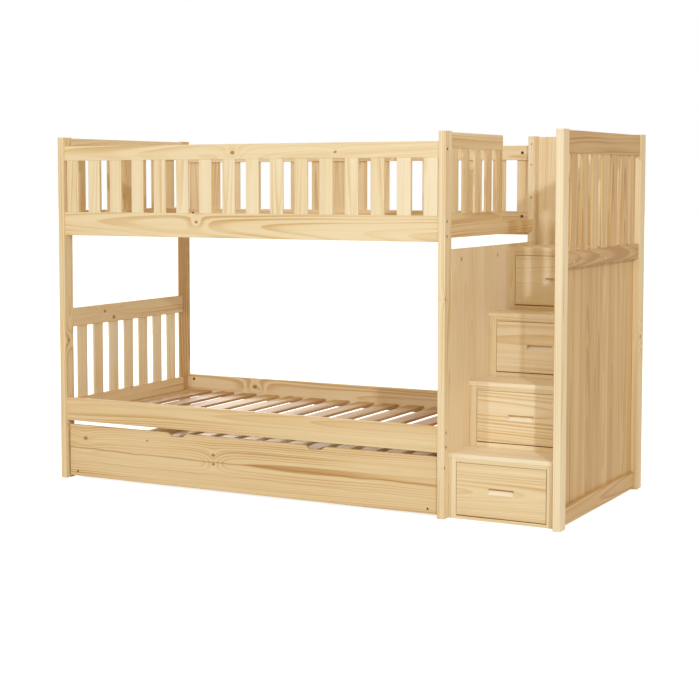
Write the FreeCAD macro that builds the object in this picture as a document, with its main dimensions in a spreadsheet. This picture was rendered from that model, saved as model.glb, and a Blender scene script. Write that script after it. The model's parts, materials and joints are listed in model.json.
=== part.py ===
import FreeCAD, Part
import os
import re

import Sketcher

# Bunk bed with storage stairs and a trundle, in millimetres.
# +X runs from the head end to the stairs, the front faces -Y, +Z is up.
# The origin lies on the floor, under the middle of the bed's outline.
# In the places below, x counts from the left outer face and y from the front face of the posts.

doc = FreeCAD.newDocument("bunk_bed")
sheet = doc.addObject("Spreadsheet::Sheet", "Sizes")

sizes = {
    # posts
    "post_wide": 33,
    "post_deep": 67,
    "post_tall": 1630,
    "bunk_clear": 1940,
    "stair_clear": 479,
    "bed_deep": 1097,
    "post_round": 3,
    # side rails and boards in general
    "rail_thick": 22,
    "rail_inset": 10,
    "board_round": 2,
    "side_rail_tall": 110,
    "lower_rail_z": 280,
    "upper_rail_z": 1167,
    "guard_rail_tall": 68,
    "guard_rail_drop": 42,
    # slats of the guards and ends
    "slat_thick": 10,
    "guard_slat_wide": 65,
    "guard_slat_lead": 13,
    "guard_slat_tail": 7.25,
    "guard_slats": 16,
    "end_slat_wide": 73,
    "end_slats": 7,
    # left end
    "end_inset": 8,
    "end_top_tall": 94,
    "end_top_drop": 3,
    "upper_end_lift": 16,
    "left_upper_tall": 101,
    "left_lower_top_z": 725,
    "left_lower_top_tall": 90,
    "lower_end_lift": 4,
    "left_lower_tall": 94,
    # entry end
    "entry_inset": 9,
    "entry_guard_drop": 4,
    "entry_guard_tall": 67,
    "entry_guard_long": 590,
    "entry_guard_round": 8,
    "entry_slat_wide": 68,
    "entry_slat_lead": 16,
    "entry_slat_tail": 6,
    "entry_slats": 5,
    "entry_rail_tall": 101,
    "entry_step_tall": 58,
    "entry_step_back": 7,
    # decks
    "cleat_wide": 25,
    "cleat_tall": 18,
    "deck_slat_wide": 84,
    "deck_slat_thick": 12,
    "deck_slats": 14,
    "head_slat_wide": 62,
    "head_slat_gap": 9.5,
    "deck_gap": 0.5,
    # panels beside the stairs
    "panel_thick": 18,
    "panel_gap": 48,
    "panel_bore": 14,
    "panel_bore_drop": 44,
    "panel_bore_front": 108,
    "panel_bore_rear": 513,
    # right end
    "right_middle_z": 1068,
    "right_middle_tall": 67,
    "right_bottom_z": 8,
    "right_bottom_tall": 75,
    "right_bottom_inset": 14,
    "plug_wide": 12,
    "plug_deep": 8,
    "plug_gap": 0.1,
    "plug_up": 22,
    "plug_lead": 96,
    "plug_tail": 58,
    "plugs": 3,
    # stairs
    "stair_front": 47,
    "last_tread_deep": 361,
    "step_rise": 281.5,
    "first_rise": 277,
    "tread_thick": 18,
    "stair_gap": 9.5,
    "stile_wide": 25,
    "frame_thick": 22,
    "frame_top_tall": 18,
    "frame_low_tall": 18.5,
    "scribe_back": 2,
    "first_low_tall": 14,
    "frame_round": 1,
    "side_board_thick": 18,
    "spacer_wide": 60,
    "spacer_front": 90,
    "spacer_back": 5,
    "back_thick": 9,
    "wall_thick": 22,
    # drawers
    "front_thick": 18,
    "drawer_side_gap": 2.5,
    "drawer_top_gap": 1.5,
    "drawer_low_gap": 4,
    "box_side_gap": 6,
    "box_wall": 12,
    "box_tall": 180,
    "box_back_gap": 3,
    "box_floor": 6,
    "box_floor_up": 8,
    "slot_wide": 116,
    "slot_tall": 26,
    "slot_back_tall": 11,
    "runner_tall": 12,
    "runner_gap": 0.3,
    # trundle
    "trundle_gap": 7,
    "trundle_front": 20,
    "trundle_low": 12.5,
    "trundle_under_gap": 20,
    "trundle_wall": 18,
    "trundle_end": 12,
    "trundle_back_in": 42,
    "trundle_frame_z": 40,
    "trundle_frame_tall": 100,
    "trundle_slat_drop": 40,
    "trundle_bearer_wide": 40,
    "trundle_bearer_tall": 30,
    "trundle_slat_lead": 18.5,
    "trundle_slats": 14,
    "notch_wide": 105,
    "notch_floor": 56,
    "notch_deep": 17,
    "notch_round": 6,
    "notch_at": 560,
    "notch_pitch": 725,
    "screw_head": 10,
    "screw_long": 3,
    "screw_sunk": 5,
    "screw_gap": 0.2,
    "screw_in": 44,
    "screw_up": 22,
    # wheels
    "wheel_radius": 25,
    "wheel_wide": 20,
    "wheel_round": 3,
    "axle_wide": 8,
    "axle_gap": 0.05,
    "axle_head_wide": 15,
    "axle_head_long": 4,
    "axle_set": 75,
    "plate_thick": 3,
    "plate_wide": 46,
    "plate_top_gap": 10,
    "plate_low": 12,
    "wheel_gap": 0.5,
    # bolts that join side rails and posts
    "bolt_wide": 6,
    "bolt_play": 0.5,
    "bolt_head": 13,
    "head_play": 1,
    "bolt_sunk_deep": 8,
    "bolt_head_long": 6,
    "nut_wide": 14,
    "nut_play": 0.5,
    "nut_in": 42,
    "nut_deep": 18,
    "bolt_past": 12,
    "bolt_spread": 31,
    "nut_sunk": 2,
    "nut_gap": 0.05,
    "spare_bore_z": 919,
    "spare_bore_drop": 37,
    "spare_bore_step": 96,
    "spare_bore_fall": 153,
    "spare_bore_deep": 40,
}

last_step = 4

# Places and lengths that follow from the sizes, as expressions.
places = {
    "length": "3 * post_wide + bunk_clear + stair_clear",
    "middle_x": "post_wide + bunk_clear",
    "stair_x": "middle_x + post_wide",
    "right_x": "stair_x + stair_clear",
    "rear_y": "bed_deep - post_deep",
    "end_clear": "bed_deep - 2 * post_deep",
    "front_rail_y": "rail_inset",
    "rear_rail_y": "bed_deep - rail_inset - rail_thick",
    "rail_mid": "rail_inset + rail_thick / 2",
    "guard_rail_z": "post_tall - guard_rail_drop - guard_rail_tall",
    "guard_slat_room": "bunk_clear - guard_slat_lead - guard_slat_tail",
    "guard_slat_pitch": "(guard_slat_room - guard_slat_wide) / (guard_slats - 1)",
    "left_upper_z": "upper_rail_z + upper_end_lift",
    "left_lower_z": "lower_rail_z + lower_end_lift",
    "entry_rail_z": "upper_rail_z + upper_end_lift",
    "entry_guard_z": "post_tall - entry_guard_drop - entry_guard_tall",
    "entry_slat_room": "entry_guard_long - entry_slat_lead - entry_slat_tail",
    "entry_slat_pitch": "(entry_slat_room - entry_slat_wide) / (entry_slats - 1)",
    "entry_step_at": "entry_guard_long - entry_step_back",
    "deck_slat_lead": "deck_gap + head_slat_wide + head_slat_gap",
    "deck_slat_pitch": "(bunk_clear - deck_slat_lead - deck_gap - deck_slat_wide) / (deck_slats - 1)",
    "middle_panel_tall": "entry_rail_z - panel_gap",
    "panel_bore_z": "middle_panel_tall - panel_bore_drop",
    "plug_pitch": "(end_clear - plug_lead - plug_tail) / (plugs - 1)",
    "stair_wide": "stair_clear - panel_thick - stair_gap",
    "step_run": f"(stair_end_y - stair_front - last_tread_deep) / {last_step - 1}",
    "box_deep": "last_tread_deep - front_thick - box_back_gap",
    "trundle_top": "lower_rail_z - trundle_under_gap",
    "trundle_rear": "bed_deep - trundle_back_in",
    "trundle_slat_pitch": "(trundle_in_long - 2 * trundle_slat_lead - deck_slat_wide) / (trundle_slats - 1)",
    "plate_tall": "trundle_slat_z - deck_slat_thick - plate_top_gap - plate_low",
    "bolt_bore": "bolt_wide + 2 * bolt_play",
    "bolt_sunk": "bolt_head + 2 * head_play",
    "nut_bore": "nut_wide + 2 * nut_play",
    "end_slat_gap": "(end_clear - end_slats * end_slat_wide) / (end_slats + 1)",
    "end_slat_pitch": "end_slat_wide + end_slat_gap",
    "end_top_z": "post_tall - end_top_drop - end_top_tall",
    "right_face_x": "length - end_inset",
    "entry_x": "stair_x - entry_inset - rail_thick",
    "panel_x": "stair_x - panel_thick",
    "right_panel_x": "right_x - panel_thick",
    "stair_left": "right_panel_x - stair_wide",
    "stair_end_y": "rear_rail_y",
    "opening_left": "stair_left + stile_wide",
    "opening_wide": "stair_wide - 2 * stile_wide",
    "front_wide": "opening_wide - 2 * drawer_side_gap",
    "box_wide": "opening_wide - 2 * box_side_gap",
    "box_inside": "box_wide - 2 * box_wall",
    "trundle_left": "post_wide + trundle_gap",
    "trundle_long": "bunk_clear - 2 * trundle_gap",
    "trundle_in_deep": "trundle_rear - trundle_front - 2 * trundle_wall",
    "trundle_in_x": "trundle_left + trundle_end",
    "trundle_in_long": "trundle_long - 2 * trundle_end",
    "trundle_in_y": "trundle_front + trundle_wall",
    "trundle_back_y": "trundle_rear - trundle_wall",
    "trundle_slat_z": "trundle_frame_z + trundle_frame_tall - trundle_slat_drop",
    "trundle_cleat_z": "trundle_slat_z - deck_slat_thick - cleat_tall",
    "bunk_mid_x": "post_wide + bunk_clear / 2",
    "bed_mid_y": "bed_deep / 2",
    "trundle_mid_y": "(trundle_front + trundle_rear) / 2",
    "deck_y": "rail_inset + rail_thick",
    "deck_deep": "bed_deep - 2 * deck_y",
    "upper_top_z": "upper_rail_z + side_rail_tall",
    "stair_top_z": f"first_rise + {last_step - 1} * step_rise",
}

for row, (alias, value) in enumerate(sizes.items(), start=1):
    sheet.set(f"A{row}", alias)
    sheet.set(f"B{row}", str(value))
    sheet.setAlias(f"B{row}", alias)
doc.recompute()

nodes = []
cuts = []
nearly_one = 0.999
nearly_nothing = 1


def fit(text):
    """The expression with each place worked out and each size read from the sheet."""
    def swap(match):
        word = match.group(0)
        if word in places:
            return "(" + fit(places[word]) + ")"
        return "Sizes." + word if word in sizes else word
    return re.sub(r"[a-z][a-z_0-9]*", swap, str(text))


def new_body(label, at, node=True):
    """A body whose own origin stands at the given place, counted from the bed's front left corner."""
    body = doc.addObject("PartDesign::Body", label)
    body.Label = label
    x, y, z = at
    body.setExpression("Placement.Base.x", fit(f"{x} - length / 2"))
    body.setExpression("Placement.Base.y", fit(f"{y} - bed_deep / 2"))
    body.setExpression("Placement.Base.z", fit(z))
    if node:
        nodes.append(body)
    return body


def new_sketch(body, role, lift="0"):
    """A sketch on one of the body's own planes, lifted along the plane's normal."""
    sketch = body.newObject("Sketcher::SketchObject", body.Label + "_sketch")
    plane = next(item for item in body.Origin.OriginFeatures if item.Role == role)
    sketch.AttachmentSupport = [(plane, "")]
    sketch.MapMode = "FlatFace"
    sketch.setExpression("AttachmentOffset.Base.z", fit(lift))
    return sketch


def bind(sketch, kind, places_of, value, text):
    """A dimension of the sketch that follows an expression."""
    index = sketch.addConstraint(Sketcher.Constraint(kind, *places_of, value))
    name = f"size_{index}"
    sketch.renameConstraint(index, name)
    sketch.setExpression("Constraints." + name, fit(text))


def draw_outline(sketch, corners):
    """A closed outline whose corners are (u, v) expressions."""
    values = [(evaluate(u), evaluate(v)) for u, v in corners]
    count = len(corners)
    for index in range(count):
        start = FreeCAD.Vector(*values[index])
        end = FreeCAD.Vector(*values[(index + 1) % count])
        sketch.addGeometry(Part.LineSegment(start, end))
    for index in range(count):
        sketch.addConstraint(Sketcher.Constraint("Coincident", index, 2, (index + 1) % count, 1))
    for index, (u, v) in enumerate(corners):
        bind(sketch, "DistanceX", (-1, 1, index, 1), values[index][0], u)
        bind(sketch, "DistanceY", (-1, 1, index, 1), values[index][1], v)


def draw_box(sketch, left, low, wide, tall):
    draw_outline(sketch, [
        (left, low),
        (f"{left} + {wide}", low),
        (f"{left} + {wide}", f"{low} + {tall}"),
        (left, f"{low} + {tall}"),
    ])


def draw_circles(sketch, centres, wide):
    for index, (u, v) in enumerate(centres):
        centre = FreeCAD.Vector(evaluate(u), evaluate(v))
        sketch.addGeometry(Part.Circle(centre, FreeCAD.Vector(0, 0, 1), evaluate(wide) / 2))
        bind(sketch, "Diameter", (index,), evaluate(wide), wide)
        bind(sketch, "DistanceX", (-1, 1, index, 3), centre.x, u)
        bind(sketch, "DistanceY", (-1, 1, index, 3), centre.y, v)


def evaluate(text):
    """What an expression comes to now, as the starting value of a sketch's geometry."""
    value = sheet.evalExpression(fit(text))
    return float(getattr(value, "Value", value))


def pad(body, sketch, length, back=False):
    feature = body.newObject("PartDesign::Pad", body.Label + "_pad")
    feature.Profile = sketch
    feature.setExpression("Length", fit(length))
    feature.Reversed = back
    doc.recompute()
    return feature


def pocket(body, sketch, depth=None, back=False):
    """A cut from the sketch; with no depth it goes right through, both ways."""
    feature = body.newObject("PartDesign::Pocket", body.Label + "_pocket")
    feature.Profile = sketch
    if depth is None:
        feature.Type = "ThroughAll"
        feature.Midplane = True
    else:
        feature.setExpression("Length", fit(depth))
        feature.Reversed = back
    doc.recompute()
    cuts.append(feature)
    return feature


def add_fillet(body, feature, names, radius):
    fillet = body.newObject("PartDesign::Fillet", body.Label + "_fillet")
    fillet.Base = (feature, names)
    fillet.setExpression("Radius", fit(radius))
    doc.recompute()
    return fillet


def round_edges(body, feature, axis, radius, wanted=None):
    """Fillets on the straight edges along an axis of the body, or on those of them that are wanted."""
    names = []
    for index, edge in enumerate(feature.Shape.Edges, start=1):
        if edge.Curve.TypeId != "Part::GeomLine" or abs(edge.Curve.Direction.dot(axis)) < nearly_one:
            continue
        if wanted is None or wanted(edge.CenterOfMass):
            names.append(f"Edge{index}")
    return add_fillet(body, feature, names, radius)


def round_faces(body, feature, axis, radius):
    """Fillets all round the flat faces that look along an axis of the body."""
    names = []
    for index, face in enumerate(feature.Shape.Faces, start=1):
        if face.Surface.TypeId == "Part::GeomPlane" and abs(face.normalAt(0, 0).dot(axis)) > nearly_one:
            names.append(f"Face{index}")
    return add_fillet(body, feature, names, radius)


def pattern(body, direction, pitch, count):
    """Copies of the whole body along a sketch's axis."""
    feature = body.newObject("PartDesign::LinearPattern", body.Label + "_pattern")
    feature.Originals = []
    feature.TransformMode = "Whole shape"
    feature.Direction = direction
    feature.Mode = "Spacing"
    feature.setExpression("Offset", fit(pitch))
    feature.setExpression("Occurrences", fit(count))
    body.Tip = feature
    doc.recompute()
    return feature


def mirror(body, role):
    """The whole body and its mirror image in one of its own planes."""
    feature = body.newObject("PartDesign::Mirrored", body.Label + "_mirror")
    plane = next(item for item in body.Origin.OriginFeatures if item.Role == role)
    feature.Originals = []
    feature.TransformMode = "Whole shape"
    feature.MirrorPlane = (plane, [""])
    body.Tip = feature
    doc.recompute()
    return feature


along_x = FreeCAD.Vector(1, 0, 0)
along_y = FreeCAD.Vector(0, 1, 0)
along_z = FreeCAD.Vector(0, 0, 1)

# How a board's cross-section lies for each direction of its grain:
# the plane, the two sizes of the section, whether the pad runs back, and the axis.
sections = {
    "x": ("YZ_Plane", (1, 2), False, along_x),
    "y": ("XZ_Plane", (0, 2), True, along_y),
    "z": ("XY_Plane", (0, 1), False, along_z),
}


def board(label, at, size, grain, radius="board_round", node=True):
    """A board from its lowest corner, with eased long edges and its grain along x, y or z."""
    body = new_body(label, at, node)
    add_board(body, size, grain, radius)
    return body


def add_board(body, size, grain, radius="board_round"):
    role, (across, up), back, axis = sections[grain]
    sketch = new_sketch(body, role)
    draw_box(sketch, "0", "0", size[across], size[up])
    feature = pad(body, sketch, size["xyz".index(grain)], back)
    round_edges(body, feature, axis, radius)
    return sketch


def slats(label, at, size, grain, direction, pitch, count, node=True):
    """A row of like slats; the direction is the sketch's own H_Axis or V_Axis."""
    body = new_body(label, at, node)
    sketch = add_board(body, size, grain)
    pattern(body, (sketch, [direction]), pitch, count)
    return body


def group(label, members):
    """Boards that are fixed to each other for good, kept as separate solids in one node."""
    compound = doc.addObject("Part::Compound", label)
    compound.Label = label
    compound.Links = members
    nodes.append(compound)
    return compound


# ---- posts

bolt_heights = [
    "lower_rail_z + side_rail_tall / 2 - bolt_spread",
    "lower_rail_z + side_rail_tall / 2 + bolt_spread",
    "upper_rail_z + side_rail_tall / 2 - bolt_spread",
    "upper_rail_z + side_rail_tall / 2 + bolt_spread",
    "guard_rail_z + guard_rail_tall / 2",
]
post_columns = {"left": "0", "middle": "middle_x", "right": "right_x"}
post_rows = {"front": ("0", "rail_mid"), "rear": ("rear_y", "post_deep - rail_mid")}


def make_post(row, column):
    """A post; the left and middle ones are bored for the side rails' bolts, with the heads sunk."""
    y, rail_y = post_rows[row]
    size = ("post_wide", "post_deep", "post_tall")
    post = board(f"post_{row}_{column}", (post_columns[column], y, "0"), size, "z", "post_round")
    if column == "right":
        return
    centres = [(rail_y, height) for height in bolt_heights]
    if column == "middle":
        centres.append((rail_y, "spare_bore_z"))
    sketch = new_sketch(post, "YZ_Plane")
    draw_circles(sketch, centres, "bolt_bore")
    pocket(post, sketch)
    outer_face = "post_wide" if column == "middle" else "0"
    sketch = new_sketch(post, "YZ_Plane", outer_face)
    draw_circles(sketch, centres, "bolt_sunk")
    pocket(post, sketch, "bolt_sunk_deep", back=column == "left")
    if (row, column) == ("rear", "middle"):
        bore_for_guard(post)


def bore_for_guard(post):
    """Three bores in the front of a post, for the entry guard on its other side."""
    high = "post_tall - spare_bore_drop"
    heights = [high, f"{high} - spare_bore_step", f"{high} - spare_bore_step - spare_bore_fall"]
    sketch = new_sketch(post, "XZ_Plane")
    draw_circles(sketch, [("post_wide / 2", height) for height in heights], "bolt_bore")
    pocket(post, sketch, "spare_bore_deep")


for row in post_rows:
    for column in post_columns:
        make_post(row, column)


# ---- long sides of both bunks

def bore_rail(rail, heights, inner_y, back):
    """Bores for the bolts in both ends of a rail, and for their cross nuts in its inner face."""
    centres = [("rail_thick / 2", height) for height in heights]
    bore_long = "nut_in + bolt_past"
    sketch = new_sketch(rail, "YZ_Plane")
    draw_circles(sketch, centres, "bolt_bore")
    pocket(rail, sketch, bore_long, back=True)
    sketch = new_sketch(rail, "YZ_Plane", "bunk_clear")
    draw_circles(sketch, centres, "bolt_bore")
    pocket(rail, sketch, bore_long)
    sketch = new_sketch(rail, "XZ_Plane", f"0 - {inner_y}")
    centres = [(x, height) for height in heights for x in ("nut_in", "bunk_clear - nut_in")]
    draw_circles(sketch, centres, "nut_bore")
    pocket(rail, sketch, "nut_deep", back=back)


def make_long_side(row, rail_y, slat_y, inner_y, back):
    guard_size = ("bunk_clear", "rail_thick", "guard_rail_tall")
    rail_size = ("bunk_clear", "rail_thick", "side_rail_tall")
    spread = ["side_rail_tall / 2 - bolt_spread", "side_rail_tall / 2 + bolt_spread"]
    rail = board(f"{row}_guard_top_rail", ("post_wide", rail_y, "guard_rail_z"), guard_size, "x")
    bore_rail(rail, ["guard_rail_tall / 2"], inner_y, back)
    slats(
        f"{row}_guard_slats",
        ("post_wide + guard_slat_lead", slat_y, "upper_top_z"),
        ("guard_slat_wide", "slat_thick", "guard_rail_z - upper_top_z"),
        "z", "H_Axis", "guard_slat_pitch", "guard_slats",
    )
    for level in ("upper", "lower"):
        at = ("post_wide", rail_y, f"{level}_rail_z")
        rail = board(f"{row}_{level}_side_rail", at, rail_size, "x")
        bore_rail(rail, spread, inner_y, back)


make_long_side("front", "front_rail_y", "rail_inset", "rail_thick", True)
make_long_side("rear", "rear_rail_y", "bed_deep - rail_inset - slat_thick", "0", False)


# ---- ends of the bed

def end_rail(label, x, z, thick, tall):
    return board(label, (x, "post_deep", z), (thick, "end_clear", tall), "y")


def end_slat_row(label, x, z, tall):
    slats(
        label,
        (x, "post_deep + end_slat_gap", z),
        ("slat_thick", "end_slat_wide", tall),
        "z", "V_Axis", "end_slat_pitch", "end_slats",
    )


end_rail("left_upper_top_rail", "end_inset", "end_top_z", "rail_thick", "end_top_tall")
end_rail("left_upper_bottom_rail", "end_inset", "left_upper_z", "rail_thick", "left_upper_tall")
end_slat_row(
    "left_upper_slats", "end_inset",
    "left_upper_z + left_upper_tall", "end_top_z - left_upper_z - left_upper_tall",
)
end_rail("left_lower_top_rail", "end_inset", "left_lower_top_z", "rail_thick", "left_lower_top_tall")
end_rail("left_lower_bottom_rail", "end_inset", "left_lower_z", "rail_thick", "left_lower_tall")
end_slat_row(
    "left_lower_slats", "end_inset",
    "left_lower_z + left_lower_tall", "left_lower_top_z - left_lower_z - left_lower_tall",
)
end_rail("right_end_top_rail", "right_face_x - rail_thick", "end_top_z", "rail_thick", "end_top_tall")
end_slat_row(
    "right_end_slats", "right_face_x - slat_thick",
    "right_middle_z + right_middle_tall", "end_top_z - right_middle_z - right_middle_tall",
)
end_rail(
    "right_end_bottom_rail", "right_x", "right_bottom_z",
    "length - right_bottom_inset - right_x", "right_bottom_tall",
)


def make_plugged_rail():
    """The right end's middle rail, screwed to the side panel through bores that plugs close."""
    thick = "right_face_x - right_x"
    rail = end_rail("right_end_middle_rail", "right_x", "right_middle_z", thick, "right_middle_tall")
    centres = [(f"plug_lead + {index} * plug_pitch", "plug_up") for index in range(sizes["plugs"])]
    sketch = new_sketch(rail, "YZ_Plane", thick)
    draw_circles(sketch, centres, "plug_wide + 2 * plug_gap")
    pocket(rail, sketch, "plug_deep")
    plugs = new_body("screw_plugs", ("right_face_x - plug_deep", "post_deep", "right_middle_z"))
    sketch = new_sketch(plugs, "YZ_Plane")
    draw_circles(sketch, centres, "plug_wide")
    pad(plugs, sketch, "plug_deep")


make_plugged_rail()


# ---- entry end of the upper bunk

def profile_plate(label, at, corners, thick):
    """A board cut to a profile in y and z."""
    body = new_body(label, at)
    sketch = new_sketch(body, "YZ_Plane")
    draw_outline(sketch, corners)
    feature = pad(body, sketch, thick)
    return body, feature


def make_entry():
    """The guard rail with its eased far corners, the stepped rail under it and the slats between."""
    corners = [
        ("0", "0"),
        ("entry_guard_long", "0"),
        ("entry_guard_long", "entry_guard_tall"),
        ("0", "entry_guard_tall"),
    ]
    at = ("entry_x", "post_deep", "entry_guard_z")
    rail, feature = profile_plate("entry_guard_top_rail", at, corners, "rail_thick")
    far_top = evaluate("entry_guard_long + entry_guard_tall") - nearly_nothing
    feature = round_edges(
        rail, feature, along_x, "entry_guard_round",
        lambda point: point.y + point.z > far_top,
    )
    round_faces(rail, feature, along_x, "board_round")
    corners = [
        ("0", "0"),
        ("end_clear", "0"),
        ("end_clear", "entry_step_tall"),
        ("entry_step_at", "entry_step_tall"),
        ("entry_step_at", "entry_rail_tall"),
        ("0", "entry_rail_tall"),
    ]
    at = ("entry_x", "post_deep", "entry_rail_z")
    rail, feature = profile_plate("entry_rail", at, corners, "rail_thick")
    round_faces(rail, feature, along_x, "board_round")
    slats_z = "entry_rail_z + entry_rail_tall"
    slats(
        "entry_guard_slats",
        ("stair_x - entry_inset - slat_thick", "post_deep + entry_slat_lead", slats_z),
        ("slat_thick", "entry_slat_wide", f"entry_guard_z - ({slats_z})"),
        "z", "V_Axis", "entry_slat_pitch", "entry_slats",
    )


make_entry()


# ---- decks

def make_deck(level):
    size = ("deck_slat_wide", "deck_deep - 2 * deck_gap", "deck_slat_thick")
    head_size = ("head_slat_wide", size[1], size[2])
    y = "deck_y + deck_gap"
    z = f"{level}_rail_z + cleat_tall"
    row = slats(
        f"{level}_deck_row", ("post_wide + deck_slat_lead", y, z), size,
        "y", "H_Axis", "deck_slat_pitch", "deck_slats", node=False,
    )
    head = board(f"{level}_head_slat", ("post_wide + deck_gap", y, z), head_size, "y", node=False)
    group(f"{level}_deck_slats", [row, head])


def make_cleats():
    size = ("bunk_clear", "cleat_wide", "cleat_tall")
    cleats = []
    for level in ("lower", "upper"):
        for row, y in (("front", "deck_y"), ("rear", "rear_rail_y - cleat_wide")):
            at = ("post_wide", y, f"{level}_rail_z")
            cleats.append(board(f"{level}_{row}_cleat", at, size, "x", node=False))
    group("deck_cleats", cleats)


make_cleats()
make_deck("upper")
make_deck("lower")


# ---- panels beside and behind the stairs

def make_panels():
    at = ("panel_x", "post_deep", "0")
    panel = board("middle_panel", at, ("panel_thick", "end_clear", "middle_panel_tall"), "z")
    sketch = new_sketch(panel, "YZ_Plane")
    centres = [("panel_bore_front", "panel_bore_z"), ("panel_bore_rear", "panel_bore_z")]
    draw_circles(sketch, centres, "panel_bore")
    pocket(panel, sketch)
    at = ("right_panel_x", "stair_front", "0")
    size = ("panel_thick", "stair_end_y - stair_front", "right_middle_z + right_middle_tall")
    board("right_end_panel", at, size, "z")
    wall_tall = "post_tall - end_top_drop - stair_top_z"
    wall = board(
        "stair_wall_boards", ("stair_x", "stair_end_y", "stair_top_z"),
        ("stair_clear", "wall_thick", wall_tall), "x", node=False,
    )
    back = board(
        "stair_back_board", ("stair_left", "stair_end_y", "0"),
        ("stair_wide", "back_thick", "stair_top_z - tread_thick"), "z", node=False,
    )
    group("stair_back_wall", [wall, back])


make_panels()


# ---- stairs

steps = range(1, last_step + 1)


def step_y(step):
    return f"(stair_front + {step - 1} * step_run)"


def tread_top(step):
    return f"(first_rise + {step - 1} * step_rise)" if step else "0"


def opening_low(step):
    return f"({tread_top(step - 1)} + {'first_low_tall' if step == steps[0] else 'frame_low_tall'})"


def opening_tall(step):
    return f"({tread_top(step)} - tread_thick - frame_top_tall - {opening_low(step)})"


def make_tread(step):
    behind = "stair_end_y" if step == steps[-1] else f"{step_y(step + 1)} + frame_thick"
    at = ("stair_x", step_y(step), f"{tread_top(step)} - tread_thick")
    size = ("right_panel_x - stair_x", f"{behind} - {step_y(step)}", "tread_thick")
    board(f"stair_tread_{step}", at, size, "x")


def make_face_frame(step):
    """Two stiles with a rail above and below the drawer's opening, and a strip up to the middle panel."""
    floor_z = tread_top(step - 1)
    y = step_y(step)
    stile = ("stile_wide", "frame_thick", f"{tread_top(step)} - tread_thick - {floor_z}")
    pieces = []
    for side, x in (("left", "stair_left"), ("right", "right_panel_x - stile_wide")):
        label = f"frame_{step}_{side}_stile"
        pieces.append(board(label, (x, y, floor_z), stile, "z", "frame_round", node=False))
    strip = ("stair_left - stair_x", "frame_thick - scribe_back", stile[2])
    at = ("stair_x", f"{y} + scribe_back", floor_z)
    pieces.append(board(f"frame_{step}_strip", at, strip, "z", "frame_round", node=False))
    low = f"{opening_low(step)} - {floor_z}"
    high_z = f"{opening_low(step)} + {opening_tall(step)}"
    for name, z, tall in (("low", floor_z, low), ("high", high_z, "frame_top_tall")):
        at = ("opening_left", y, z)
        size = ("opening_wide", "frame_thick", tall)
        pieces.append(board(f"frame_{step}_{name}_rail", at, size, "x", "frame_round", node=False))
    return pieces


def make_stair_side(label, x):
    """A side board whose upper edge steps up behind the face frames, under the treads."""
    corners = [("stair_front + frame_thick", "0")]
    for step in steps:
        under = f"{tread_top(step)} - tread_thick"
        behind = "stair_end_y" if step == steps[-1] else f"{step_y(step + 1)} + frame_thick"
        corners.append((f"{step_y(step)} + frame_thick", under))
        corners.append((behind, under))
    corners.append(("stair_end_y", "0"))
    profile_plate(label, (x, "0", "0"), corners, "side_board_thick")


def make_battens():
    """Battens between the middle panel and the stairs, and the runners under the drawers."""
    gap = "stair_left - stair_x"
    battens = []
    rear_y = "stair_end_y - spacer_back - spacer_wide"
    for name, y, top in (("front", "spacer_front", steps[0]), ("rear", rear_y, steps[-1])):
        size = (gap, "spacer_wide", f"{tread_top(top)} - tread_thick")
        battens.append(board(f"{name}_spacer", ("stair_x", y, "0"), size, "z", "frame_round", node=False))
    left = "stair_left + side_board_thick"
    wide = f"opening_left + box_side_gap + box_wall - ({left})"
    size = (wide, "last_tread_deep - frame_thick", "runner_tall")
    for step in steps:
        y = f"{step_y(step)} + frame_thick"
        z = f"{opening_low(step)} + drawer_low_gap - runner_gap - runner_tall"
        for side, x in (("left", left), ("right", f"right_panel_x - side_board_thick - ({wide})")):
            label = f"runner_{step}_{side}"
            battens.append(board(label, (x, y, z), size, "y", "frame_round", node=False))
    group("stair_battens", battens)


for step in steps:
    make_tread(step)
group("stair_face_frames", [piece for step in steps for piece in make_face_frame(step)])
make_stair_side("stair_side_left", "stair_left")
make_stair_side("stair_side_right", "right_panel_x - side_board_thick")
make_battens()


# ---- drawers

def make_drawer_front(step):
    """An inset front with a finger slot, whose lower lip slopes up to the drawer box behind it."""
    tall = f"({opening_tall(step)} - drawer_low_gap - drawer_top_gap)"
    at = ("opening_left + drawer_side_gap", step_y(step), f"{opening_low(step)} + drawer_low_gap")
    front = board(f"drawer_front_{step}", at, ("front_wide", "front_thick", tall), "x")
    sketch = new_sketch(front, "YZ_Plane", "front_wide / 2 - slot_wide / 2")
    slot_top = f"{tall} / 2 + slot_tall / 2"
    draw_outline(sketch, [
        ("0", f"{slot_top} - slot_tall"),
        ("front_thick", f"{slot_top} - slot_back_tall"),
        ("front_thick", slot_top),
        ("0", slot_top),
    ])
    pocket(front, sketch, "slot_wide", back=True)


def make_drawer_box(step):
    left = "opening_left + box_side_gap"
    y = f"{step_y(step)} + front_thick"
    z = f"{opening_low(step)} + drawer_low_gap"
    side = ("box_wall", "box_deep", "box_tall")
    end = ("box_inside", "box_wall", "box_tall")
    floor = ("box_inside", "box_deep - 2 * box_wall", "box_floor")
    pieces = {
        "left": ((left, y, z), side, "y"),
        "right": ((f"{left} + box_wide - box_wall", y, z), side, "y"),
        "inner_front": ((f"{left} + box_wall", y, z), end, "x"),
        "back": ((f"{left} + box_wall", f"{y} + box_deep - box_wall", z), end, "x"),
        "floor": ((f"{left} + box_wall", f"{y} + box_wall", f"{z} + box_floor_up"), floor, "x"),
    }
    group(f"drawer_box_{step}", [
        board(f"drawer_{step}_{name}", at, size, grain, "frame_round", node=False)
        for name, (at, size, grain) in pieces.items()
    ])


for step in steps:
    make_drawer_front(step)
    make_drawer_box(step)


# ---- trundle

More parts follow.
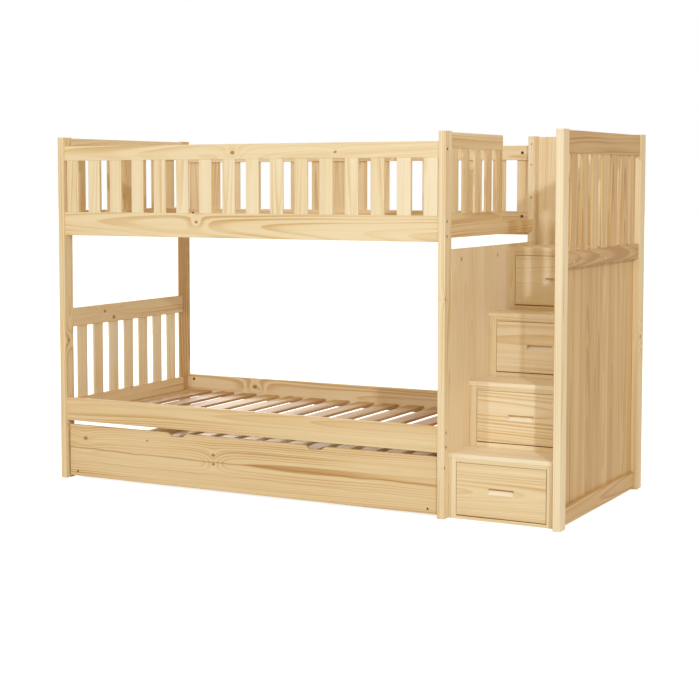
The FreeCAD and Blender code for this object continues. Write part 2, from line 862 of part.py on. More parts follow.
def make_trundle_front():
    """The front panel, with two finger notches in its upper edge and a sunk screw near each end."""
    tall = "(trundle_top - trundle_low)"
    slope = "(notch_wide - notch_floor) / 2"
    panel = new_body("trundle_front", ("trundle_left", "trundle_front", "trundle_low"))
    corners = [("0", "0"), ("trundle_long", "0"), ("trundle_long", tall)]
    for start in ("notch_at + notch_pitch", "notch_at"):
        corners += [
            (f"{start} + notch_wide", tall),
            (f"{start} + notch_wide - {slope}", f"{tall} - notch_deep"),
            (f"{start} + {slope}", f"{tall} - notch_deep"),
            (start, tall),
        ]
    corners.append(("0", tall))
    sketch = new_sketch(panel, "XZ_Plane")
    draw_outline(sketch, corners)
    feature = pad(panel, sketch, "trundle_wall", back=True)
    floor_z = evaluate(f"{tall} - notch_deep") - nearly_nothing
    far_x = evaluate("trundle_long") - nearly_nothing
    feature = round_edges(
        panel, feature, along_y, "notch_round",
        lambda point: point.z > floor_z and nearly_nothing < point.x < far_x,
    )
    round_faces(panel, feature, along_y, "board_round")
    sketch = new_sketch(panel, "XZ_Plane")
    draw_circles(sketch, screw_centres, "screw_head + 2 * screw_gap")
    pocket(panel, sketch, "screw_sunk")
    at = ("trundle_left", "trundle_front + screw_sunk - screw_long", "trundle_low")
    screws = new_body("trundle_screws", at)
    sketch = new_sketch(screws, "XZ_Plane")
    draw_circles(sketch, screw_centres, "screw_head")
    pad(screws, sketch, "screw_long", back=True)


screw_centres = [("screw_in", "screw_up"), ("trundle_long - screw_in", "screw_up")]


def make_trundle_frame():
    """Ends, rear board, slat cleats and a middle bearer."""
    end = ("trundle_end", "trundle_in_deep", "trundle_frame_tall")
    rear = ("trundle_long", "trundle_wall", "trundle_frame_tall")
    cleat = ("trundle_in_long", "cleat_wide", "cleat_tall")
    bearer = ("trundle_in_long", "trundle_bearer_wide", "trundle_bearer_tall")
    low = "trundle_frame_z"
    bearer_z = "trundle_slat_z - deck_slat_thick - trundle_bearer_tall"
    right = "trundle_left + trundle_long - trundle_end"
    pieces = {
        "left": (("trundle_left", "trundle_in_y", low), end, "y"),
        "right": ((right, "trundle_in_y", low), end, "y"),
        "rear": (("trundle_left", "trundle_back_y", low), rear, "x"),
        "front_cleat": (("trundle_in_x", "trundle_in_y", "trundle_cleat_z"), cleat, "x"),
        "rear_cleat": (("trundle_in_x", "trundle_back_y - cleat_wide", "trundle_cleat_z"), cleat, "x"),
        "bearer": (("trundle_in_x", "trundle_mid_y - trundle_bearer_wide / 2", bearer_z), bearer, "x"),
    }
    group("trundle_frame", [
        board(f"trundle_{name}_board", at, size, grain, node=False)
        for name, (at, size, grain) in pieces.items()
    ])
    slats(
        "trundle_slats",
        ("trundle_in_x + trundle_slat_lead", "trundle_in_y + deck_gap", "trundle_slat_z - deck_slat_thick"),
        ("deck_slat_wide", "trundle_in_deep - 2 * deck_gap", "deck_slat_thick"),
        "y", "H_Axis", "trundle_slat_pitch", "trundle_slats",
    )


def make_wheel_mounts():
    """A plate with a riveted axle inside each end board, at four corners."""
    body = new_body("caster_mounts", ("bunk_mid_x", "trundle_mid_y", "0"))
    inner_x = "0 - trundle_in_long / 2"
    axle_y = "axle_set - trundle_in_deep / 2"
    wheel_run = "plate_thick + wheel_gap + wheel_wide + wheel_gap"
    sketch = new_sketch(body, "YZ_Plane", inner_x)
    draw_box(sketch, f"{axle_y} - plate_wide / 2", "plate_low", "plate_wide", "plate_tall")
    pad(body, sketch, "plate_thick")
    sketch = new_sketch(body, "YZ_Plane", inner_x)
    draw_circles(sketch, [(axle_y, "wheel_radius")], "axle_wide")
    pad(body, sketch, wheel_run)
    sketch = new_sketch(body, "YZ_Plane", f"{inner_x} + {wheel_run}")
    draw_circles(sketch, [(axle_y, "wheel_radius")], "axle_head_wide")
    pad(body, sketch, "axle_head_long")
    mirror(body, "YZ_Plane")
    mirror(body, "XZ_Plane")


def make_wheel(row, column, x, y):
    wheel = new_body(f"trundle_wheel_{row}_{column}", (x, y, "wheel_radius"))
    sketch = new_sketch(wheel, "YZ_Plane")
    draw_circles(sketch, [("0", "0")], "2 * wheel_radius")
    feature = pad(wheel, sketch, "wheel_wide")
    rims = [f"Edge{index}" for index, edge in enumerate(feature.Shape.Edges, start=1)
            if edge.Curve.TypeId == "Part::GeomCircle"]
    add_fillet(wheel, feature, rims, "wheel_round")
    sketch = new_sketch(wheel, "YZ_Plane")
    draw_circles(sketch, [("0", "0")], "axle_wide + 2 * axle_gap")
    pocket(wheel, sketch)


make_trundle_front()
make_trundle_frame()
make_wheel_mounts()
wheel_columns = {
    "left": "trundle_in_x + plate_thick + wheel_gap",
    "right": "trundle_in_x + trundle_in_long - plate_thick - wheel_gap - wheel_wide",
}
wheel_rows = {"front": "trundle_in_y + axle_set", "rear": "trundle_back_y - axle_set"}
for row, y in wheel_rows.items():
    for column, x in wheel_columns.items():
        make_wheel(row, column, x, y)


# ---- bolts and cross nuts between posts and side rails

def make_bolts():
    """The front left set, then its mirror images at the other three corners of the bunks."""
    body = new_body("frame_bolts", ("bunk_mid_x", "bed_mid_y", "0"))
    outer_x = "0 - bunk_clear / 2 - post_wide"
    rail_y = "rail_mid - bed_deep / 2"
    nut_x = "nut_in - bunk_clear / 2"
    inner_y = "deck_y - bed_deep / 2"
    sketch = new_sketch(body, "XZ_Plane", f"0 - ({inner_y}) + nut_sunk")
    draw_circles(sketch, [(nut_x, height) for height in bolt_heights], "nut_wide")
    pad(body, sketch, "nut_deep - nut_sunk")
    centres = [(rail_y, height) for height in bolt_heights]
    sketch = new_sketch(body, "YZ_Plane")
    draw_circles(sketch, centres, "bolt_wide + 2 * nut_gap")
    pocket(body, sketch)
    seat_x = f"{outer_x} + bolt_sunk_deep"
    sketch = new_sketch(body, "YZ_Plane", f"{seat_x} - bolt_head_long")
    draw_circles(sketch, centres, "bolt_head")
    pad(body, sketch, "bolt_head_long")
    sketch = new_sketch(body, "YZ_Plane", seat_x)
    draw_circles(sketch, centres, "bolt_wide")
    pad(body, sketch, "post_wide - bolt_sunk_deep + nut_in + nut_wide / 2 + nut_sunk")
    mirror(body, "YZ_Plane")
    mirror(body, "XZ_Plane")


make_bolts()


# ---- checks and files

doc.recompute()
for item in doc.Objects:
    if {"Invalid", "Error"} & set(item.State):
        raise RuntimeError(f"{item.Label} could not be built: {item.State}")
for cut in cuts:
    if cut.Shape.Volume >= cut.BaseFeature.Shape.Volume:
        raise RuntimeError(f"{cut.Label} cuts nothing")
for node in nodes:
    if node.Shape.isNull() or not node.Shape.isValid():
        raise RuntimeError(f"{node.Label} has no valid shape")

os.makedirs("parts", exist_ok=True)
for node in nodes:
    node.Shape.exportStep(f"parts/{node.Label}.step")
    print(node.Label, len(node.Shape.Solids), "solids")
print(len(nodes), "sub-parts")
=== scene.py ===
import json
import math
import random

import bmesh
import bpy
from mathutils import Matrix, Vector

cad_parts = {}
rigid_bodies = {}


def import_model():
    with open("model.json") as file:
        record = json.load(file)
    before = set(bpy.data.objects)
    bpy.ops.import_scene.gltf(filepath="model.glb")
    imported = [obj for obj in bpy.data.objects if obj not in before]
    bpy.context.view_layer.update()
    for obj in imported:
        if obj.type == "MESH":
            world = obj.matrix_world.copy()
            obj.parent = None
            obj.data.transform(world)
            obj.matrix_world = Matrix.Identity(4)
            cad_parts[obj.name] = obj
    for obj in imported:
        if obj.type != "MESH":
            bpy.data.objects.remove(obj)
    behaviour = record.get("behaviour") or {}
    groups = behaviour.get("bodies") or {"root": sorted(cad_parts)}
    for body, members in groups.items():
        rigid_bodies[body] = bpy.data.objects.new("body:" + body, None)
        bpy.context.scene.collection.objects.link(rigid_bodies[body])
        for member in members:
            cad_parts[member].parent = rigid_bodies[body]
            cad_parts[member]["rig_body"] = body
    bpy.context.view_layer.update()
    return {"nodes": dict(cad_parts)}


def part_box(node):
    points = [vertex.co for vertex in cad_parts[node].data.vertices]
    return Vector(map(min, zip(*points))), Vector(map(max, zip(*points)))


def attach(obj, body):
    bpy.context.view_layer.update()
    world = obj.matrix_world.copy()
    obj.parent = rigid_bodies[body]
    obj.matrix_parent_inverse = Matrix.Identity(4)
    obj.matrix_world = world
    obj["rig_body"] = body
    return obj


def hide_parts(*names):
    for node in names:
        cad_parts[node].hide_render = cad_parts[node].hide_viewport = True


# Looks of a pine bunk bed with storage stairs and a trundle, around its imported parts.
# Metres, with +Z up and the front towards -Y.

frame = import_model()
bpy.context.scene.view_settings.view_transform = "Standard"


# camera, light and floor

camera = {
    "place": (3.45235, -6.67113, 1.42648),
    "yaw": 0.512246,
    "pitch": 0.0717475,
    "roll": -0.00174214,
    "focalPixels": 1603.604,
    "imagePixels": 699,
    "centrePixels": (290.584, 295.406),
    "sensor": 36,
}


def linkNew(name, data):
    thing = bpy.data.objects.new(name, data)
    bpy.context.scene.collection.objects.link(thing)
    return thing


def addCamera():
    yaw, pitch = camera["yaw"], camera["pitch"]
    level = math.cos(pitch)
    forward = Vector((-math.sin(yaw) * level, math.cos(yaw) * level, -math.sin(pitch)))
    right = forward.cross(Vector((0, 0, 1))).normalized()
    turn = Matrix((right, right.cross(forward), -forward)).transposed()
    turn = turn @ Matrix.Rotation(camera["roll"], 3, "Z")
    pixels = camera["imagePixels"]
    across, down = camera["centrePixels"]
    data = bpy.data.cameras.new("photoCamera")
    data.sensor_width = camera["sensor"]
    data.lens = camera["focalPixels"] / pixels * camera["sensor"]
    data.shift_x = 0.5 - across / pixels
    data.shift_y = down / pixels - 0.5
    holder = linkNew("photoCamera", data)
    holder.matrix_world = Matrix.Translation(camera["place"]) @ turn.to_4x4()
    bpy.context.scene.camera = holder


light = {
    "middle": (0, 0, 0.7),
    "lamps": {
        "keyLamp": {"at": (5.41, -6.7, 3.84), "wide": 0.3, "level": 0.89, "tint": (0.82, 0.91, 1.0)},
        "sideLamp": {"at": (-1.37, -6.8, 3.8), "wide": 0.3, "level": 0.50, "tint": (0.82, 0.91, 1.0)},
        "backLamp": {"at": (-4.8, 5.7, 3.5), "wide": 3.0, "level": 0.9, "tint": (0.9, 0.95, 1.0)},
    },
    "fill": (0.64, 0.54, 0.355),
    "floorGlow": 0.82,
    "floorTone": 0.72,
    "floorHalf": 60.0,
}


def addLamp(name, at, wide, level, tint):
    towards = Vector(at) - Vector(light["middle"])
    data = bpy.data.lights.new(name, "AREA")
    data.shape = "DISK"
    data.size = wide
    data.energy = level * math.pi * towards.length_squared  # level is the light that reaches the middle
    data.color = tint
    lamp = linkNew(name, data)
    lamp.matrix_world = Matrix.Translation(at) @ towards.to_track_quat("Z", "Y").to_matrix().to_4x4()


# node trees: arithmetic on a wire adds Math nodes, and every other node comes from Nodes.add

class Wire:
    def __init__(self, nodes, socket):
        self.nodes = nodes
        self.socket = socket

    def maths(self, operation, other=None, swapped=False):
        pair = (other, self) if swapped else (self, other)
        values = {place: value for place, value in enumerate(pair) if value is not None}
        return self.nodes.add("ShaderNodeMath", {"operation": operation}, values)

    def __add__(self, other):
        return self.maths("ADD", other)

    __radd__ = __add__

    def __mul__(self, other):
        return self.maths("MULTIPLY", other)

    __rmul__ = __mul__

    def __sub__(self, other):
        return self.maths("SUBTRACT", other)

    def __rsub__(self, other):
        return self.maths("SUBTRACT", other, swapped=True)

    def __truediv__(self, other):
        return self.maths("DIVIDE", other)

    def __rtruediv__(self, other):
        return self.maths("DIVIDE", other, swapped=True)


class Nodes:
    def __init__(self, tree):
        self.tree = tree
        tree.nodes.clear()

    def add(self, kind, settings=None, values=None, output=0):
        node = self.tree.nodes.new(kind)
        for name, value in (settings or {}).items():
            if name == "stops":
                setStops(node.color_ramp, value)
            else:
                setattr(node, name, value)
        for name, value in (values or {}).items():
            if isinstance(value, Wire):
                self.tree.links.new(value.socket, node.inputs[name])
            else:
                node.inputs[name].default_value = value
        return Wire(self, node.outputs[output]) if node.outputs else None

    def vector(self, x, y, z):
        return self.add("ShaderNodeCombineXYZ", {}, {"X": x, "Y": y, "Z": z})

    def vectorMaths(self, operation, *values, output="Vector"):
        settings = {"operation": operation}
        return self.add("ShaderNodeVectorMath", settings, dict(enumerate(values)), output)

    def split(self, vector):
        first = self.add("ShaderNodeSeparateXYZ", {}, {"Vector": vector}, "X")
        node = first.socket.node
        return first, Wire(self, node.outputs["Y"]), Wire(self, node.outputs["Z"])

    def noise(self, where, stretch, shift=(0, 0, 0), detail=2.0, output="Fac"):
        place = self.vectorMaths("MULTIPLY_ADD", where, stretch, shift)
        values = {"Vector": place, "Scale": 1.0, "Detail": detail}
        return self.add("ShaderNodeTexNoise", {}, values, output)

    def smooth(self, value, low, high):
        values = {"Value": value, "From Min": low, "From Max": high}
        return self.add("ShaderNodeMapRange", {"interpolation_type": "SMOOTHSTEP"}, values)

    def mixColour(self, share, first, second):
        return self.add("ShaderNodeMix", {"data_type": "RGBA"}, {0: share, 6: first, 7: second}, 2)

    def objectPlace(self):
        return self.add("ShaderNodeTexCoord", {}, {}, "Object")

    def bump(self, height, strength, distance):
        values = {"Height": height, "Strength": strength, "Distance": distance}
        return self.add("ShaderNodeBump", {}, values)

    def principled(self, values):
        shader = self.add("ShaderNodeBsdfPrincipled", {}, values)
        self.add("ShaderNodeOutputMaterial", {}, {"Surface": shader})


def setStops(ramp, stops):
    while len(ramp.elements) < len(stops):
        ramp.elements.new(1.0)
    for element, (place, colour) in zip(ramp.elements, stops):
        element.position = place
        element.color = colour


def tint(red, green, blue):
    channels = [value / 255 for value in (red, green, blue)]
    return [c / 12.92 if c < 0.04045 else ((c + 0.055) / 1.055) ** 2.4 for c in channels] + [1.0]


def grey(level):
    return (level, level, level, 1.0)


def newMaterial(name):
    material = bpy.data.materials.new(name)
    material.use_nodes = True
    return material, Nodes(material.node_tree)


def seenRays(nodes):
    # 1 for what the camera sees, also in metal and through glass, and 0 for the light on the bed
    path = nodes.add("ShaderNodeLightPath", {}, {}, "Is Camera Ray")
    outputs = path.socket.node.outputs
    seen = path + Wire(nodes, outputs["Is Glossy Ray"]) + Wire(nodes, outputs["Is Transmission Ray"])
    return seen.maths("MINIMUM", 1.0)


def addWorld():
    world = bpy.data.worlds.new("studio")
    bpy.context.scene.world = world
    world.use_nodes = True
    nodes = Nodes(world.node_tree)
    fill = nodes.add("ShaderNodeBackground", {}, {"Color": (*light["fill"], 1.0), "Strength": 1.0})
    white = nodes.add("ShaderNodeBackground", {}, {"Color": grey(1.0), "Strength": 1.0})
    both = nodes.add("ShaderNodeMixShader", {}, {0: seenRays(nodes), 1: fill, 2: white})
    nodes.add("ShaderNodeOutputWorld", {}, {"Surface": both})


def addFloor():
    material, nodes = newMaterial("paleFloor")
    matt = nodes.add("ShaderNodeBsdfDiffuse", {}, {"Color": grey(light["floorTone"])})
    strength = seenRays(nodes) * light["floorGlow"]
    glow = nodes.add("ShaderNodeEmission", {}, {"Color": grey(1.0), "Strength": strength})
    both = nodes.add("ShaderNodeAddShader", {}, {0: matt, 1: glow})
    nodes.add("ShaderNodeOutputMaterial", {}, {"Surface": both})
    half = light["floorHalf"]
    corners = [(-half, -half, 0), (half, -half, 0), (half, half, 0), (-half, half, 0)]
    mesh = bpy.data.meshes.new("floor")
    mesh.from_pydata(corners, [], [(0, 1, 2, 3)])
    mesh.materials.append(material)
    linkNew("floor", mesh)


addCamera()
for name, lamp in light["lamps"].items():
    addLamp(name, **lamp)
addWorld()
addFloor()
print("camera, lamps and floor made")


# pine: every board is cut out of a trunk of its own, whose pith lies behind the board's face

pine = {
    "stops": [
        (0.0, tint(249, 236, 211)),
        (0.3, tint(239, 217, 178)),
        (0.65, tint(219, 184, 133)),
        (1.0, tint(184, 138, 84)),
    ],
    "baseTone": 0.16,
    "tone": 0.0,  # what a board adds, from pale to brown
    "toneSpread": 0.20,
    "ringPitch": 0.0085,
    "ringShare": 0.42,
    "fineShare": 0.16,
    "bandShare": 0.30,
    "cloudShare": 0.18,
    "wildKnots": 0.16,  # the share of the cells that hold a knot
    "roughness": 0.52,
    "roughSpread": 0.16,
}
pineShine = {
    "bump": 0.22,
    "bumpDistance": 0.0006,
    "specular": 0.32,
    "coat": 0.06,
    "coatRoughness": 0.35,
}
trunk = {
    "pithDeep": 0.035,
    "pithDeepMore": 0.06,
    "pithSide": 0.07,
    "pithSlope": 0.05,
    "bend": (0.9, 6.0, 6.0),
    "wander": 0.030,
    "unevenStep": 0.7,
    "uneven": 1.4,
    "lateWood": (0.25, 0.9),  # parts of a year
    "yearEnd": (0.92, 1.0),
}
grain = {
    # how often each pattern changes in a metre along, across and through the board
    "fine": (7.0, 520.0, 520.0),
    "band": (1.1, 52.0, 52.0),
    "cloud": (1.6, 9.0, 9.0),
    "strong": (1.3, 11.0, 11.0),
    "strongRange": (0.30, 0.72),
    "faintest": 0.25,
    "fineHeight": 0.5,
    "lateHeight": 0.35,
    "seedShift": 13.0,
    "axisShift": 3.0,
}
knotLook = {
    "rimColour": tint(162, 112, 62),
    "rimShare": 0.85,
    "rimEdge": (0.65, 1.15),
    "heartColour": tint(186, 134, 82),
    "heartShare": 0.8,
    "heartEdge": (0.35, 0.75),
    "squeeze": 0.72,  # a knot is longer along the board
    "ragged": (160.0, 160.0, 0.0),
    "raggedBy": 0.004,
    "ringPush": 260.0,
    "pushFade": 0.09,
    "sunk": 0.4,
    "cells": (1.7, 7.5),  # to a metre, along and across
    "smallest": 0.0025,
    "larger": 0.0045,
    "least": 0.0001,
}
seamLook = {
    "colour": tint(170, 118, 66),
    "core": 0.25,
    "wave": (4.0, 0.0, 0.0),
    "waveBy": 0.022,
    "fade": (5.0, 0.0, 0.0),
    "fadeBy": 0.8,
    "faintest": 0.4,
}


def knotMark(nodes, gap, radius):
    # a dark rim, a brown heart, and how far the rings are pushed round them
    k = knotLook
    ragged = nodes.noise(gap, k["ragged"], detail=1.0)
    away = nodes.vectorMaths("LENGTH", gap, output="Value") + (ragged - 0.5) * k["raggedBy"]
    share = away / (radius + k["least"])
    rim = 1 - nodes.smooth(share, *k["rimEdge"])
    heart = 1 - nodes.smooth(share, *k["heartEdge"])
    push = radius * k["ringPush"] / (share * share * k["pushFade"] + 1)
    return rim, heart, push


def knotMarks(nodes, whole, shift, knots, wildShare):
    # the knots with a place of their own, and then those that some cells of a net hold
    k = knotLook
    along, across, _ = nodes.split(whole)
    marks = []
    for alongKnot, acrossKnot, radius in knots:
        gap = nodes.vector((along - alongKnot) * k["squeeze"], across - acrossKnot, 0.0)
        marks.append(knotMark(nodes, gap, radius))
    if wildShare:
        cellsAlong, cellsAcross = k["cells"]
        flat = nodes.vector(along, across, 0.0)
        place = nodes.vectorMaths("MULTIPLY_ADD", flat, (cellsAlong, cellsAcross, 0.0), shift)
        settings, values = {"voronoi_dimensions": "2D"}, {"Vector": place, "Scale": 1.0}
        nearest = nodes.add("ShaderNodeTexVoronoi", settings, values, "Position")
        pick, size, _ = nodes.split(Wire(nodes, nearest.socket.node.outputs["Color"]))
        gap = nodes.vectorMaths("SUBTRACT", place, nearest)
        gap = nodes.vectorMaths("MULTIPLY", gap, (k["squeeze"] / cellsAlong, 1 / cellsAcross, 0.0))
        radius = (k["smallest"] + size * k["larger"]) * pick.maths("LESS_THAN", wildShare)
        marks.append(knotMark(nodes, gap, radius))
    return marks


def lateWood(nodes, where, seed, shift, ringPitch, pushes):
    # the year rings round the pith: 0 in the early wood, 1 in the late wood
    t = trunk
    along, across, through = nodes.split(where)
    _, bendAcross, bendThrough = nodes.split(nodes.noise(where, t["bend"], shift, 1.0, "Color"))
    sideways = across + along * ((seed[1] - 0.5) * t["pithSlope"]) + (seed[2] - 0.5) * t["pithSide"]
    sideways = sideways + (bendAcross - 0.5) * t["wander"]
    deep = through + along * ((seed[0] - 0.5) * t["pithSlope"])
    deep = deep + (seed[1] * t["pithDeepMore"] + t["pithDeep"])
    deep = deep + (bendThrough - 0.5) * t["wander"]
    years = nodes.vectorMaths("LENGTH", nodes.vector(0.0, sideways, deep), output="Value") / ringPitch
    for push in pushes:
        years = years + push
    values = {"W": years * t["unevenStep"], "Scale": 1.0}
    uneven = nodes.add("ShaderNodeTexNoise", {"noise_dimensions": "1D"}, values)
    season = (years + uneven * t["uneven"]).maths("FRACT")
    return nodes.smooth(season, *t["lateWood"]) * (1 - nodes.smooth(season, *t["yearEnd"]))


def seamLine(nodes, where, whole, shift, leftAcross, rightAcross, halfLong, width, depth):
    # a glue line from one height at the left to another at the right, which waves and fades a little
    s = seamLook
    along, across, _ = nodes.split(whole)
    middle = along * ((rightAcross - leftAcross) / (2 * halfLong)) + (leftAcross + rightAcross) / 2
    wave = (nodes.noise(where, s["wave"], shift) - 0.5) * s["waveBy"]
    off = (across - middle - wave).maths("ABSOLUTE")
    fade = nodes.noise(where, s["fade"], shift, 1.0) * s["fadeBy"] + s["faintest"]
    return (1 - nodes.smooth(off, width * s["core"], width)) * fade * depth


def pineSurface(nodes, where, seed, knots=(), seams=(), whole=None, **look):
    # where is along, across and through the board, from its middle, and seed is three numbers or
    # wires from 0 to 1; whole is where over all the strips of a panel, for its knots and seams
    look = {**pine, **look}
    whole = whole or where
    shift = [grain["seedShift"] * part + grain["axisShift"] * axis for axis, part in enumerate(seed)]
    shift = nodes.vector(*shift)
    marks = knotMarks(nodes, whole, shift, knots, look["wildKnots"])
    late = lateWood(nodes, where, seed, shift, look["ringPitch"], [push for _, _, push in marks])
    fine, band, cloud = [nodes.noise(where, grain[name], shift) for name in ("fine", "band", "cloud")]
    strong = nodes.smooth(nodes.noise(where, grain["strong"], shift, 0.0), *grain["strongRange"])
    dark = late * (strong * (1 - grain["faintest"]) + grain["faintest"]) * look["ringShare"]
    dark = dark + (fine - 0.5) * look["fineShare"] + (band - 0.5) * look["bandShare"]
    dark = dark + (cloud - 0.5) * look["cloudShare"]
    dark = dark + (seed[0] * look["toneSpread"] + (look["baseTone"] + look["tone"]))
    colour = nodes.add("ShaderNodeValToRGB", {"stops": look["stops"]}, {"Fac": dark}, "Color")
    for seam in seams:
        line = seamLine(nodes, where, whole, shift, *seam)
        colour = nodes.mixColour(line, colour, seamLook["colour"])
    height = fine * grain["fineHeight"] + late * grain["lateHeight"]
    for rim, heart, _ in marks:
        colour = nodes.mixColour(rim * knotLook["rimShare"], colour, knotLook["rimColour"])
        colour = nodes.mixColour(heart * knotLook["heartShare"], colour, knotLook["heartColour"])
        height = height - rim * knotLook["sunk"]
    return colour, look["roughness"] + (fine - 0.5) * look["roughSpread"], height


def closePine(nodes, colour, rough, height):
    nodes.principled({
        "Base Color": colour,
        "Roughness": rough,
        "Normal": nodes.bump(height, pineShine["bump"], pineShine["bumpDistance"]),
        "Specular IOR Level": pineShine["specular"],
        "Coat Weight": pineShine["coat"],
        "Coat Roughness": pineShine["coatRoughness"],
    })


def rowPine(name, **look):
    # boards made here carry their own place and seed, so one material serves a whole row of them
    material, nodes = newMaterial(name)
    where = nodes.add("ShaderNodeAttribute", {"attribute_name": "boardPlace"}, {}, "Vector")
    seed = nodes.split(nodes.add("ShaderNodeAttribute", {"attribute_name": "boardSeed"}, {}, "Vector"))
    closePine(nodes, *pineSurface(nodes, where, seed, **look))
    return material


pineSets = {
    "light": rowPine("lightPine", wildKnots=0.1, ringShare=0.3, tone=-0.2),
    "pale": rowPine("palePine", wildKnots=0.1, ringShare=0.3, tone=-0.08),
    "plain": rowPine("plainPine", wildKnots=0.12, ringShare=0.34),
    "honey": rowPine("honeyPine", wildKnots=0.12, ringShare=0.38, tone=0.14),
    # deep also serves the drawer boxes' painted shade
    "deep": rowPine("deepPine", wildKnots=0.12, ringShare=0.38, tone=0.32),
    # amber is the deck slats' painted shade
    "amber": rowPine("amberPine", wildKnots=0.12, ringShare=0.36, tone=0.5),
}


# shared making: solids of a node, eased boards, turned pieces and the trees' results

def sidesOf(low, high):
    # unit vectors along, across and through a board, from its longest side to its shortest
    size = high - low
    order = sorted(range(3), key=lambda axis: -size[axis])
    axes = [Vector([1.0 if axis == place else 0.0 for place in range(3)]) for axis in order]
    if Matrix(axes).determinant() < 0:
        axes[2].negate()
    return axes, [size[axis] for axis in order]


def threeDraws(draw):
    return [draw.random() for _ in range(3)]


def solidsOf(node):
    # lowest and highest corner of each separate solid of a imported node; where two solids share an
    # edge, its faces come in pairs, one solid after the other
    mesh = frame["nodes"][node].data
    spots = [tuple(round(value, 5) for value in vert.co) for vert in mesh.vertices]
    sharing = {}
    for face in mesh.polygons:
        for first, second in face.edge_keys:
            sharing.setdefault(frozenset((spots[first], spots[second])), []).append(face.index)
    beside = {face.index: [] for face in mesh.polygons}
    for faces in sharing.values():
        for first, second in zip(faces[::2], faces[1::2]):
            beside[first].append(second)
            beside[second].append(first)
    left = set(beside)
    boxes = []
    while left:
        front = [left.pop()]
        corners = []
        while front:
            face = front.pop()
            corners += [mesh.vertices[index].co for index in mesh.polygons[face].vertices]
            reached = [other for other in beside[face] if other in left]
            left.difference_update(reached)
            front += reached
        low = Vector([min(corner[axis] for corner in corners) for axis in range(3)])
        high = Vector([max(corner[axis] for corner in corners) for axis in range(3)])
        boxes.append((low, high))
    return sorted(boxes, key=lambda box: [round(value, 4) for value in (*box[0], *box[1])])


replaced = set()


def newPiece(name, mesh, node, material=None):
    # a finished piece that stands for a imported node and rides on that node's body
    piece = linkNew(name, mesh)
    if material:
        mesh.materials.clear()
        mesh.materials.append(material)
    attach(piece, frame["nodes"][node]["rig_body"])
    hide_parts(node)
    replaced.add(node)


def meshOf(bm, name):
    mesh = bpy.data.meshes.new(name)
    bm.to_mesh(mesh)
    bm.free()
    return mesh


def addBlock(bm, low, high):
    made = bmesh.ops.create_cube(bm, size=1.0)["verts"]
    middle, size = (low + high) / 2, high - low
    for vert in made:
        vert.co = Vector([vert.co[axis] * size[axis] for axis in range(3)]) + middle
    return made


eased = {"board": 0.0015, "boardSegments": 2, "slat": 0.0018, "slatPoints": 3}


def easedBoards(name, boxes):
    # boards with every edge eased, in one mesh; each carries its place and seed for the grain
    bm = bmesh.new()
    placeLayer = bm.verts.layers.float_vector.new("boardPlace")
    seedLayer = bm.verts.layers.float_vector.new("boardSeed")
    draw = random.Random(name)
    bevel = {"offset": eased["board"], "segments": eased["boardSegments"], "profile": 0.5}
    for low, high in boxes:
        made = addBlock(bm, low, high)
        edges = list({edge for vert in made for edge in vert.link_edges})
        bmesh.ops.bevel(bm, geom=made + edges, affect="EDGES", clamp_overlap=True, **bevel)
        axes, _ = sidesOf(low, high)
        seed = Vector(threeDraws(draw))
        for vert in bm.verts:
            if vert[seedLayer].length == 0:
                vert[placeLayer] = Matrix(axes) @ (vert.co - (low + high) / 2)
                vert[seedLayer] = seed
    return meshOf(bm, name)


def turned(name, rows, segments=32):
    # a closed piece turned round X; a row is its radius and its place along, and where it has flats,
    # their count and how far out their corners may reach
    bm = bmesh.new()
    rings = []
    for radius, place, *flat in rows:
        if radius == 0:
            rings.append([bm.verts.new((0, 0, place))])
            continue
        ring = []
        for index in range(segments):
            angle = 2 * math.pi * index / segments
            reach = radius
            if flat:
                flats, limit = flat
                wedge = 2 * math.pi / flats
                reach = min(limit, radius / max(0.02, math.cos((angle % wedge) - wedge / 2)))
            ring.append(bm.verts.new((reach * math.cos(angle), reach * math.sin(angle), place)))
        rings.append(ring)
    for lower, upper in zip(rings, rings[1:]):
        for index in range(segments):
            after = (index + 1) % segments
            corners = [lower[index % len(lower)], lower[after % len(lower)],
                       upper[after % len(upper)], upper[index % len(upper)]]
            bm.faces.new(list(dict.fromkeys(corners)))
    bmesh.ops.rotate(bm, verts=bm.verts, matrix=Matrix.Rotation(math.pi / 2, 3, "Y"))
    bmesh.ops.recalc_face_normals(bm, faces=bm.faces)
    return meshOf(bm, name)


def newTree(name, inputs):
    tree = bpy.data.node_groups.new(name, "GeometryNodeTree")
    tree.interface.new_socket("Geometry", in_out="INPUT", socket_type="NodeSocketGeometry")
    for label, kind in inputs.items():
        tree.interface.new_socket(label, in_out="INPUT", socket_type="NodeSocket" + kind)
    tree.interface.new_socket("Geometry", in_out="OUTPUT", socket_type="NodeSocketGeometry")
    nodes = Nodes(tree)
    given = nodes.add("NodeGroupInput").socket.node
    return tree, nodes, {socket.name: Wire(nodes, socket) for socket in given.outputs if socket.name}


def closeTree(nodes, geometry, material):
    realized = nodes.add("GeometryNodeRealizeInstances", {}, {"Geometry": geometry})
    finished = nodes.add("GeometryNodeSetMaterial", {}, {"Geometry": realized, "Material": material})
    nodes.add("NodeGroupOutput", {}, {0: finished})


def applyTree(name, tree, values, mesh=None):
    # the tree's result as a plain mesh
    host = linkNew(name + "Host", mesh or bpy.data.meshes.new(name + "Host"))
    modifier = host.modifiers.new(name, "NODES")
    modifier.node_group = tree
    for item in tree.interface.items_tree:
        if item.in_out == "INPUT" and item.name in values:
            modifier[item.identifier] = values[item.name]
    depsgraph = bpy.context.evaluated_depsgraph_get()
    made = bpy.data.meshes.new_from_object(
        host.evaluated_get(depsgraph), preserve_all_data_layers=True, depsgraph=depsgraph)
    host.modifiers.remove(modifier)
    bpy.data.objects.remove(host)
    made.name = name
    return made


# slats

